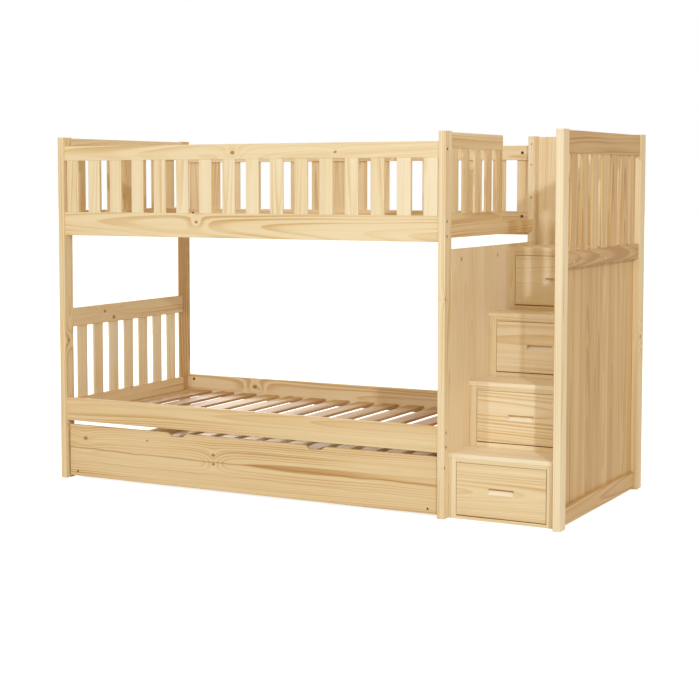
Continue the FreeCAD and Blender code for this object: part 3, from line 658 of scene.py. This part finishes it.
slatRows = {
    "front_guard_slats": {"seed": 3, "finish": "pale"},
    "rear_guard_slats": {"seed": 5, "finish": "plain"},
    "left_upper_slats": {"seed": 7, "finish": "plain"},
    "left_lower_slats": {"seed": 11, "finish": "light"},
    "right_end_slats": {"seed": 13, "finish": "deep"},
    "entry_guard_slats": {"seed": 17, "finish": "plain"},
    # painted shade: the deck slats take the amber set, standing in for the shade that lies on them
    "upper_deck_slats": {"seed": 19, "finish": "amber"},
    "lower_deck_slats": {"seed": 23, "finish": "amber"},
    "trundle_slats": {"seed": 29, "finish": "honey"},
}


def slatTree():
    # a row of like slats with eased long edges; each slat draws a seed for its grain
    tree, nodes, given = newTree("slatRow", {
        "Long": "Float", "Wide": "Float", "Thick": "Float", "Ease": "Float", "Count": "Int",
        "First": "Vector", "Step": "Vector", "Turn": "Rotation", "Seed": "Int", "Finish": "Material",
    })
    values = {"Width": given["Wide"], "Height": given["Thick"]}
    section = nodes.add("GeometryNodeCurvePrimitiveQuadrilateral", {}, values)
    values = {"Curve": section, "Count": eased["slatPoints"], "Radius": given["Ease"]}
    section = nodes.add("GeometryNodeFilletCurve", {"mode": "POLY"}, values)
    half = given["Long"] * 0.5
    values = {"Start": nodes.vector(0.0, 0.0, half * -1), "End": nodes.vector(0.0, 0.0, half)}
    spine = nodes.add("GeometryNodeCurvePrimitiveLine", {}, values)
    values = {"Curve": spine, "Profile Curve": section, "Fill Caps": True}
    slat = nodes.add("GeometryNodeCurveToMesh", {}, values)
    across, through, along = nodes.split(nodes.add("GeometryNodeInputPosition"))
    values = {"Geometry": slat, "Name": "boardPlace", "Value": nodes.vector(along, across, through)}
    keep = {"data_type": "FLOAT_VECTOR", "domain": "POINT"}
    slat = nodes.add("GeometryNodeStoreNamedAttribute", keep, values)
    values = {"Count": given["Count"], "Start Location": given["First"], "Offset": given["Step"]}
    spots = nodes.add("GeometryNodeMeshLine", {"mode": "OFFSET"}, values)
    values = {"Points": spots, "Instance": slat, "Rotation": given["Turn"]}
    row = nodes.add("GeometryNodeInstanceOnPoints", {}, values)
    draw = nodes.add("FunctionNodeRandomValue", {"data_type": "FLOAT_VECTOR"}, {"Seed": given["Seed"]})
    keep = {"data_type": "FLOAT_VECTOR", "domain": "INSTANCE"}
    values = {"Geometry": row, "Name": "boardSeed", "Value": draw}
    row = nodes.add("GeometryNodeStoreNamedAttribute", keep, values)
    closeTree(nodes, row, given["Finish"])
    return tree


def makeSlatRow(node, tree, seed, finish):
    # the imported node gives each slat's place and size; slats of another width stand in their own row
    rows = {}
    for low, high in solidsOf(node):
        size = tuple(round(value, 3) for value in high - low)
        rows.setdefault(size, []).append((low, high))
    for index, members in enumerate(rows.values()):
        (low, high), (lastLow, _) = members[0], members[-1]
        axes, (longSide, wideSide, thickSide) = sidesOf(low, high)
        turn = Matrix((axes[1], axes[2], axes[0])).transposed()
        count = len(members)
        values = {
            "Long": longSide, "Wide": wideSide, "Thick": thickSide, "Ease": eased["slat"],
            "Count": count, "First": (low + high) / 2, "Step": (lastLow - low) / max(1, count - 1),
            "Turn": turn.to_euler(), "Seed": seed + index, "Finish": pineSets[finish],
        }
        name = "row_" + node + ("_head" if index else "")
        newPiece(name, applyTree(name, tree, values), node)


slats = slatTree()
for node, row in slatRows.items():
    makeSlatRow(node, slats, **row)
print("rows of slats made")


# frames, boxes and battens

boardSets = {
    "deck_cleats": "plain",
    # painted light: the stair's back wall and face frames take the pale set, standing in for the light
    # in the stair's niche
    "stair_back_wall": "pale",
    "stair_face_frames": "pale",
    "stair_battens": "honey",
    # painted shade: the drawer boxes take the deep set, so the shade seen through the slots and gaps
    # comes out brown
    "drawer_box_1": "deep",
    "drawer_box_2": "deep",
    "drawer_box_3": "deep",
    "drawer_box_4": "deep",
    "trundle_frame": "honey",
}
for node, finish in boardSets.items():
    mesh = easedBoards("boards_" + node, solidsOf(node))
    newPiece("boards_" + node, mesh, node, pineSets[finish])
print("frames, boxes and battens made")


# fasteners

def fastenerTree():
    # one fastener at every point of the host's mesh, turned by the point's own aim
    tree, nodes, given = newTree("fastenerSet", {"Fastener": "Object", "Finish": "Material"})
    pattern = nodes.add("GeometryNodeObjectInfo", {}, {"Object": given["Fastener"]}, "Geometry")
    settings = {"data_type": "FLOAT_VECTOR"}
    aim = nodes.add("GeometryNodeInputNamedAttribute", settings, {"Name": "aim"}, "Attribute")
    turn = nodes.add("FunctionNodeAlignRotationToVector", {"axis": "X"}, {"Vector": aim})
    values = {"Points": given["Geometry"], "Instance": pattern, "Rotation": turn}
    spread = nodes.add("GeometryNodeInstanceOnPoints", {}, values)
    closeTree(nodes, spread, given["Finish"])
    return tree


def fastenerSet(name, tree, pattern, spots, material):
    # spots are places with the direction that the fastener's head looks in
    host = bpy.data.meshes.new(name + "Spots")
    host.from_pydata([spot for spot, _ in spots], [], [])
    aims = host.attributes.new("aim", "FLOAT_VECTOR", "POINT")
    aims.data.foreach_set("vector", [value for _, aim in spots for value in aim])
    holder = linkNew(name + "Pattern", pattern)
    mesh = applyTree(name, tree, {"Fastener": holder, "Finish": material}, host)
    bpy.data.objects.remove(holder)
    return mesh


steels = {
    "dullSteel": {"colour": (104, 84, 62), "roughness": 0.5},
    "bronzedSteel": {"colour": (120, 84, 54), "roughness": 0.45},
    "zincSteel": {"colour": (188, 186, 180), "roughness": 0.3},
}
steelLook = {
    "blotch": (90.0, 90.0, 90.0),
    "blotchRange": (0.35, 0.75),
    "blotchShade": 0.72,
    "brushed": (1400.0, 200.0, 200.0),
    "roughSpread": 0.2,
    "bump": 0.1,
    "bumpDistance": 0.0002,
}


def steelFinish(name):
    s = steelLook
    colour = steels[name]["colour"]
    material, nodes = newMaterial(name)
    place = nodes.objectPlace()
    blotch = nodes.smooth(nodes.noise(place, s["blotch"], detail=3.0), *s["blotchRange"])
    brushed = nodes.noise(place, s["brushed"], (5, 5, 5))
    shaded = tint(*[channel * s["blotchShade"] for channel in colour])
    nodes.principled({
        "Base Color": nodes.mixColour(blotch, tint(*colour), shaded),
        "Metallic": 1.0,
        "Roughness": steels[name]["roughness"] + (brushed - 0.5) * s["roughSpread"],
        "Normal": nodes.bump(brushed, s["bump"], s["bumpDistance"]),
    })
    return material


bolts = {
    "headRadius": 0.0062,
    "headLong": 0.0058,
    "shankRadius": 0.003,
    "hexHalf": 0.0026,
    "hexDeep": 0.003,
    "nutRadius": 0.0068,
    "slotHalf": 0.0009,
    "slotDeep": 0.0018,
    "slotBevel": 0.0002,
    "edge": 0.0006,
}


def boltPattern(longBolt):
    # head towards +X, with a hexagon socket, and the shank behind it
    b, edge = bolts, bolts["edge"]
    return turned("boltPattern", [
        (0, -longBolt),
        (b["shankRadius"] - edge, -longBolt),
        (b["shankRadius"], -longBolt + edge),
        (b["shankRadius"], -b["headLong"]),
        (b["headRadius"] - edge, -b["headLong"]),
        (b["headRadius"], -b["headLong"] + edge),
        (b["headRadius"], -edge),
        (b["headRadius"] - edge, 0),
        (b["hexHalf"] + edge, 0, 6, b["headRadius"]),
        (b["hexHalf"], -edge, 6, b["headRadius"]),
        (b["hexHalf"], -b["hexDeep"], 6, b["headRadius"]),
        (0, -b["hexDeep"] - edge),
    ], 24)


def nutPattern(longNut):
    # a cross nut, slotted in the end that shows
    b, edge = bolts, bolts["edge"]
    slotReach = b["nutRadius"] - 2 * edge
    return turned("nutPattern", [
        (0, -longNut),
        (b["nutRadius"] - edge, -longNut),
        (b["nutRadius"], -longNut + edge),
        (b["nutRadius"], -edge),
        (b["nutRadius"] - edge, 0),
        (b["slotHalf"] + b["slotBevel"], 0, 2, slotReach),
        (b["slotHalf"], -b["slotDeep"], 2, slotReach),
        (0, -b["slotDeep"]),
    ])


def makeBolts(tree):
    # the bolts lie along X with their heads outwards, and the nuts along Y, open to the inside
    material = steelFinish("dullSteel")
    boltSpots, nutSpots = [], []
    for low, high in solidsOf("frame_bolts"):
        middle, size = (low + high) / 2, high - low
        if size.x > size.y:
            side = 1 if middle.x > 0 else -1
            end = high.x if side > 0 else low.x
            boltSpots.append((Vector((end, middle.y, middle.z)), (side, 0, 0)))
            longBolt = size.x
        else:
            side = -1 if middle.y > 0 else 1
            end = high.y if side > 0 else low.y
            nutSpots.append((Vector((middle.x, end, middle.z)), (0, side, 0)))
            longNut = size.y
    mesh = fastenerSet("socket_bolts", tree, boltPattern(longBolt), boltSpots, material)
    newPiece("socket_bolts", mesh, "frame_bolts")
    mesh = fastenerSet("cross_nuts", tree, nutPattern(longNut), nutSpots, material)
    newPiece("cross_nuts", mesh, "frame_bolts")


plugs = {
    "edge": 0.0008,
    "dome": 0.0005,
    "shoulder": 0.5,
    "shoulderSunk": 0.25,
    "pale": (255, 247, 228),
    "dark": (240, 218, 178),
    "rings": (300.0, 900.0, 900.0),
    "roughness": 0.5,
    "roughSpread": 0.1,
    "bump": 0.2,
    "bumpDistance": 0.0003,
}


def plugFinish():
    p = plugs
    material, nodes = newMaterial("plugPine")
    rings = nodes.noise(nodes.objectPlace(), p["rings"], (2, 2, 2))
    nodes.principled({
        "Base Color": nodes.mixColour(rings, tint(*p["pale"]), tint(*p["dark"])),
        "Roughness": p["roughness"] + rings * p["roughSpread"],
        "Normal": nodes.bump(rings, p["bump"], p["bumpDistance"]),
    })
    return material


def makePlugs(tree):
    # wood plugs with a slightly domed face, lighter than the rail round them
    p = plugs
    spots = []
    for low, high in solidsOf("screw_plugs"):
        middle, size = (low + high) / 2, high - low
        spots.append((Vector((high.x, middle.y, middle.z)), (1, 0, 0)))
    radius = size.y / 2
    pattern = turned("plugPattern", [
        (0, -size.x),
        (radius, -size.x),
        (radius, -p["edge"] - p["dome"]),
        (radius - p["edge"], -p["dome"]),
        (radius * p["shoulder"], -p["dome"] * p["shoulderSunk"]),
        (0, 0),
    ])
    mesh = fastenerSet("domed_plugs", tree, pattern, spots, plugFinish())
    newPiece("domed_plugs", mesh, "screw_plugs")


sunkScrews = {"taper": 0.8, "hexShare": 0.8, "hexDeep": 0.6}


def makeTrundleScrews(tree):
    # bronzed screws with a hexagon socket, sunk below the panel's face
    s = sunkScrews
    spots = []
    for low, high in solidsOf("trundle_screws"):
        middle, size = (low + high) / 2, high - low
        spots.append((Vector((middle.x, low.y, middle.z)), (0, -1, 0)))
    radius, edge = size.x / 2, bolts["edge"]
    hexHalf, hexDeep = bolts["hexHalf"] * s["hexShare"], size.y * s["hexDeep"]
    pattern = turned("screwPattern", [
        (0, -size.y),
        (radius * s["taper"], -size.y),
        (radius, -edge * 2),
        (radius - edge, 0),
        (hexHalf, 0, 6, radius),
        (hexHalf, -hexDeep, 6, radius),
        (0, -hexDeep),
    ], 24)
    mesh = fastenerSet("sunk_screws", tree, pattern, spots, steelFinish("bronzedSteel"))
    newPiece("sunk_screws", mesh, "trundle_screws")


fasteners = fastenerTree()
makeBolts(fasteners)
makePlugs(fasteners)
makeTrundleScrews(fasteners)
print("bolts, nuts, plugs and screws made")


# wheels and their mounts

plasticLook = {
    "dark": (46, 46, 48),
    "scuffed": (84, 82, 80),
    "grain": (900.0, 900.0, 900.0),
    "scuff": (70.0, 70.0, 70.0),
    "scuffRange": (0.45, 0.8),
    "scuffShare": 0.5,
    "roughness": 0.42,
    "roughSpread": 0.2,
    "bump": 0.12,
    "bumpDistance": 0.0003,
}


def plasticFinish():
    p = plasticLook
    material, nodes = newMaterial("darkPlastic")
    place = nodes.objectPlace()
    grainFine = nodes.noise(place, p["grain"])
    scuff = nodes.smooth(nodes.noise(place, p["scuff"], (4, 4, 4), 3.0), *p["scuffRange"])
    nodes.principled({
        "Base Color": nodes.mixColour(scuff * p["scuffShare"], tint(*p["dark"]), tint(*p["scuffed"])),
        "Roughness": p["roughness"] + grainFine * p["roughSpread"],
        "Normal": nodes.bump(grainFine, p["bump"], p["bumpDistance"]),
    })
    return material


wheels = {
    "edge": 0.0025,
    "edgeMiddle": 0.3,
    "rim": 0.0050,
    "slope": 0.0006,
    "webSunk": 0.0045,
    "hubRadius": 0.0095,
    "boreGap": 0.0003,
    "axleRadius": 0.004,
    "ribs": 8,
    "ribWide": 0.0016,
    "ribSunk": 0.35,
    "ribBite": 0.0002,
    "grooveAt": 0.35,
    "grooveHalf": 0.0008,
    "grooveDeep": 0.0007,
    "segments": 48,
}


def wheelMesh(node):
    # a moulded wheel: rounded tread with two grooves, a sunk web on both faces and a hub at the axle
    low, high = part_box(node)
    w = wheels
    radius, half = (high.z - low.z) / 2, (high.x - low.x) / 2
    web, rim = half - w["webSunk"], radius - w["rim"]
    edgeMiddle = w["edge"] * w["edgeMiddle"]
    groove = half * w["grooveAt"]
    side = [
        (w["axleRadius"] + w["boreGap"], half),
        (w["hubRadius"], half),
        (w["hubRadius"] + w["slope"], web),
        (rim, web),
        (rim + w["slope"], half),
        (radius - w["edge"], half),
        (radius - edgeMiddle, half - edgeMiddle),
        (radius, half - w["edge"]),
        (radius, groove + w["grooveHalf"]),
        (radius - w["grooveDeep"], groove),
        (radius, groove - w["grooveHalf"]),
    ]
    rows = side + [(reach, -place) for reach, place in reversed(side)] + side[:1]
    bm = bmesh.new()
    bm.from_mesh(turned(node + "Turned", rows, w["segments"]))
    bmesh.ops.remove_doubles(bm, verts=bm.verts, dist=0.00001)
    bmesh.ops.recalc_face_normals(bm, faces=bm.faces)
    ribLong = rim - w["hubRadius"] + 2 * w["ribBite"]
    ribFrom = Vector((0, 0, w["hubRadius"] + w["ribBite"]))
    ribTo = ribFrom + Vector((0, 0, ribLong))
    ribHalf = Vector((half - w["webSunk"] * w["ribSunk"], w["ribWide"] / 2, 0))
    for index in range(w["ribs"]):
        made = addBlock(bm, ribFrom - ribHalf, ribTo + ribHalf)
        turn = Matrix.Rotation(2 * math.pi * index / w["ribs"], 3, "X")
        bmesh.ops.rotate(bm, verts=made, matrix=turn)
    bmesh.ops.translate(bm, verts=bm.verts, vec=(low + high) / 2)
    return meshOf(bm, node + "Wheel")


plastic = plasticFinish()
wheelNodes = sorted(name for name in frame["nodes"] if name.startswith("trundle_wheel"))
for node in wheelNodes:
    newPiece("moulded_" + node, wheelMesh(node), node, plastic)

mounts = {
    "plateThick": 0.003,
    "plateRound": 0.006,
    "plateSegments": 6,
    "plateEdge": 0.0004,
    "axleRadius": 0.0039,
    "headRadius": 0.0075,
    "headLong": 0.004,
    "headStraight": 0.5,
    "domeRadius": 0.7,
    "domeSunk": 0.12,
    "screwIn": 0.008,
    "screwRadius": 0.0035,
    "screwLong": 0.0012,
    "screwFace": 0.8,
    "screwStraight": 0.3,
    "screwHex": 0.4,
    "screwHexDeep": 0.5,
}


def alongX(edge):
    return abs(edge.verts[0].co.x - edge.verts[1].co.x)


def plateMesh(low, high):
    # a steel plate with rounded corners, standing across X
    m = mounts
    bm = bmesh.new()
    addBlock(bm, low, high)
    corners = [edge for edge in bm.edges if alongX(edge) > (high - low).x / 2]
    bevel = {"offset": m["plateRound"], "segments": m["plateSegments"], "profile": 0.5}
    bmesh.ops.bevel(bm, geom=corners, affect="EDGES", **bevel)
    rims = [edge for edge in bm.edges if alongX(edge) < m["plateEdge"] / 4]
    bevel = {"offset": m["plateEdge"], "segments": 1, "profile": 0.5, "clamp_overlap": True}
    bmesh.ops.bevel(bm, geom=rims, affect="EDGES", **bevel)
    return meshOf(bm, "mountPlate")


def axlePattern(longAxle):
    m = mounts
    return turned("axlePattern", [
        (0, -longAxle),
        (m["axleRadius"], -longAxle),
        (m["axleRadius"], -m["headLong"]),
        (m["headRadius"], -m["headLong"]),
        (m["headRadius"], -m["headLong"] * m["headStraight"]),
        (m["headRadius"] * m["domeRadius"], -m["headLong"] * m["domeSunk"]),
        (0, 0),
    ])


def mountScrewPattern():
    m = mounts
    radius, long, hexHalf = m["screwRadius"], m["screwLong"], m["screwRadius"] * m["screwHex"]
    return turned("mountScrewPattern", [
        (0, -long),
        (radius, -long),
        (radius * m["screwFace"], -long * m["screwStraight"]),
        (hexHalf, 0, 6, radius),
        (hexHalf, -long * m["screwHexDeep"], 6, radius),
        (0, -long * m["screwHexDeep"]),
    ], 24)


def makeMounts(tree):
    # plate, axle with a domed head, and four screws to the trundle's end board
    m = mounts
    material = steelFinish("zincSteel")
    meshes, screwSpots, axleSpots = [], [], []
    wheelLow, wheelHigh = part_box(wheelNodes[0])
    axleUp = (wheelLow.z + wheelHigh.z) / 2
    for low, high in solidsOf("caster_mounts"):
        side = 1 if (low.x + high.x) < 0 else -1
        outer, tip = (low.x, high.x) if side > 0 else (high.x, low.x)
        inner = outer + side * m["plateThick"]
        plateLow = Vector((min(outer, inner), low.y, low.z))
        plateHigh = Vector((max(outer, inner), high.y, high.z))
        meshes.append(plateMesh(plateLow, plateHigh))
        axleSpots.append((Vector((tip, (low.y + high.y) / 2, axleUp)), (side, 0, 0)))
        for y in (low.y + m["screwIn"], high.y - m["screwIn"]):
            for z in (low.z + m["screwIn"], high.z - m["screwIn"]):
                screwSpots.append((Vector((inner + side * m["screwLong"], y, z)), (side, 0, 0)))
        longAxle = abs(tip - inner)
    meshes.append(fastenerSet("axles", tree, axlePattern(longAxle), axleSpots, material))
    meshes.append(fastenerSet("mount_screws", tree, mountScrewPattern(), screwSpots, material))
    bm = bmesh.new()
    for mesh in meshes:
        bm.from_mesh(mesh)
    newPiece("wheel_mounts", meshOf(bm, "wheel_mounts"), "caster_mounts", material)


makeMounts(fasteners)
print("wheels and mounts made")


# single boards: the knots, seams and tone of each listed board, while the others take what their names
# draw; some tones are painted light or painted shade, as marked below

boardLooks = {
    "front_guard_top_rail": {"knots": [(0.481, 0.43, 0.009), (0.748, 0.4, 0.006)], "tone": 0.09},
    "front_upper_side_rail": {"knots": [(0.381, 0.64, 0.007)], "ringShare": 0.5, "tone": 0.08},
    "front_lower_side_rail": {"wildKnots": 0.0, "tone": 0.18},
    "left_lower_top_rail": {"knots": [(0.27, 0.63, 0.008), (0.348, 0.24, 0.010)], "tone": 0.1},
    "rear_lower_side_rail": {"knots": [(0.217, 0.6, 0.010)], "tone": -0.02},
    "post_front_left": {"knots": [(0.407, 0.37, 0.008)], "tone": 0.05},
    "post_front_middle": {
        "knots": [(0.571, 0.08, 0.005), (0.134, 0.1, 0.006)],
        "wildKnots": 0.0,
        "tone": -0.12,
    },
    "post_front_right": {"tone": -0.1},
    # painted shade: a deeper tone stands in for the shade on this post's side
    "post_rear_left": {"tone": 0.42},
    "post_rear_middle": {"tone": -0.28},
    "post_rear_right": {"knots": [(0.434, 0.36, 0.009)]},
    "trundle_front": {
        "knots": [(0.421, 0.66, 0.008), (0.421, 0.49, 0.007), (0.048, 0.75, 0.010)],
        "seams": [(0.55, 0.50, 0.0045, 0.75), (0.30, 0.27, 0.003, 0.35)],
        "tone": 0.15,
    },
    # painted light: the drawer fronts are made paler, standing in for the light in the stair's niche
    "drawer_front_1": {"slot": True, "ringShare": 0.38, "tone": -0.06},
    "drawer_front_2": {"slot": True, "ringShare": 0.5, "tone": -0.12},
    "drawer_front_3": {"slot": True, "ringShare": 0.36, "ringPitch": 0.015, "tone": -0.12},
    "drawer_front_4": {"slot": True, "ringShare": 0.34, "tone": -0.2},
    # painted light: the middle panel's paler tone stands in for the light in the stair's niche
    "middle_panel": {
        "knots": [(0.9612, 0.112, 0.0075), (0.9612, 0.5327, 0.0075)],  # painted shade: dark knot marks round the bores stand in for the shade inside them
        "strip": 0.09,
        "wildKnots": 0.0,
        "ringShare": 0.24,
        "tone": -0.18,
    },
    "right_end_panel": {"strip": 0.075, "wildKnots": 0.0, "ringShare": 0.2, "tone": 0.4},
    "right_end_top_rail": {"wildKnots": 0.0, "tone": 0.5},
    "right_end_middle_rail": {"wildKnots": 0.0, "tone": 0.46},
    "right_end_bottom_rail": {"wildKnots": 0.0, "tone": 0.44},
    # painted light: the treads are made paler, standing in for the light that falls on their tops
    "stair_tread_1": {"tone": -0.24},
    "stair_tread_2": {"tone": -0.22},
    "stair_tread_3": {"tone": -0.12},
    "stair_tread_4": {"tone": -0.12},
}
# painted light on the drawers' finger slots: the slot's size, and the near-white colour that stands in
# for the light on its routed faces
fingerSlot = {
    "halfWide": 0.0585,
    "halfTall": 0.0132,
    "sawnFrom": 0.0003,
    "sawnTo": 0.0009,
    "share": 0.9,
    "freshCut": tint(253, 244, 226),
}
gluedStrips = {"first": 20, "firstSpread": 5, "drawSpread": 9}


def stripsOf(nodes, where, seed, wide):
    # boards glued edge to edge: each strip gets a middle and a seed of its own
    g = gluedStrips
    along, across, through = nodes.split(where)
    count = across / wide + (seed[1] * g["firstSpread"] + g["first"])
    strip = count.maths("FLOOR")
    values = {"Vector": nodes.vector(strip, seed[0] * g["drawSpread"], 0.0)}
    draw = nodes.add("ShaderNodeTexWhiteNoise", {"noise_dimensions": "2D"}, values, "Color")
    inside = nodes.vector(along, (count - strip - 0.5) * wide, through)
    return inside, nodes.split(draw)


def slotLightMask(nodes, place, low, high):
    # the routed faces of a drawer's finger slot, painted near white over the front's grain: painted
    # light, standing in for the light on the slot's sloped lip
    f = fingerSlot
    sideways, deep, upright = nodes.split(place)
    middle = (low + high) / 2
    inside = (sideways - middle.x).maths("ABSOLUTE").maths("LESS_THAN", f["halfWide"])
    inside = inside * (upright - middle.z).maths("ABSOLUTE").maths("LESS_THAN", f["halfTall"])
    return inside * nodes.smooth(deep - low.y, f["sawnFrom"], f["sawnTo"]) * f["share"]


def boardPine(node, knots=(), seams=(), strip=None, slot=False, **look):
    # a material for one packed board; knots and seams are placed as shares of its length and width
    low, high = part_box(node)
    axes, (longSide, wideSide, _) = sidesOf(low, high)
    turn = Matrix(axes)
    middle = turn @ ((low + high) / 2)
    material, nodes = newMaterial("pine_" + node)
    place = nodes.objectPlace()
    mapping = {"Vector": place, "Location": -middle, "Rotation": turn.to_euler()}
    where = whole = nodes.add("ShaderNodeMapping", {}, mapping)
    seed = threeDraws(random.Random(node))
    knots = [((a - 0.5) * longSide, (b - 0.5) * wideSide, radius) for a, b, radius in knots]
    seams = [((a - 0.5) * wideSide, (b - 0.5) * wideSide, longSide / 2, w, d) for a, b, w, d in seams]
    if strip:
        where, seed = stripsOf(nodes, where, seed, strip)
    colour, rough, height = pineSurface(nodes, where, seed, knots, seams, whole, **look)
    # painted light: the slot's routed faces are mixed towards near white
    if slot:
        colour = nodes.mixColour(slotLightMask(nodes, place, low, high), colour, fingerSlot["freshCut"])
    closePine(nodes, colour, rough, height)
    slots = frame["nodes"][node].data.materials
    slots.clear()
    slots.append(material)


for node in sorted(set(frame["nodes"]) - replaced):
    boardPine(node, **boardLooks.get(node, {}))
print("single boards finished in pine")
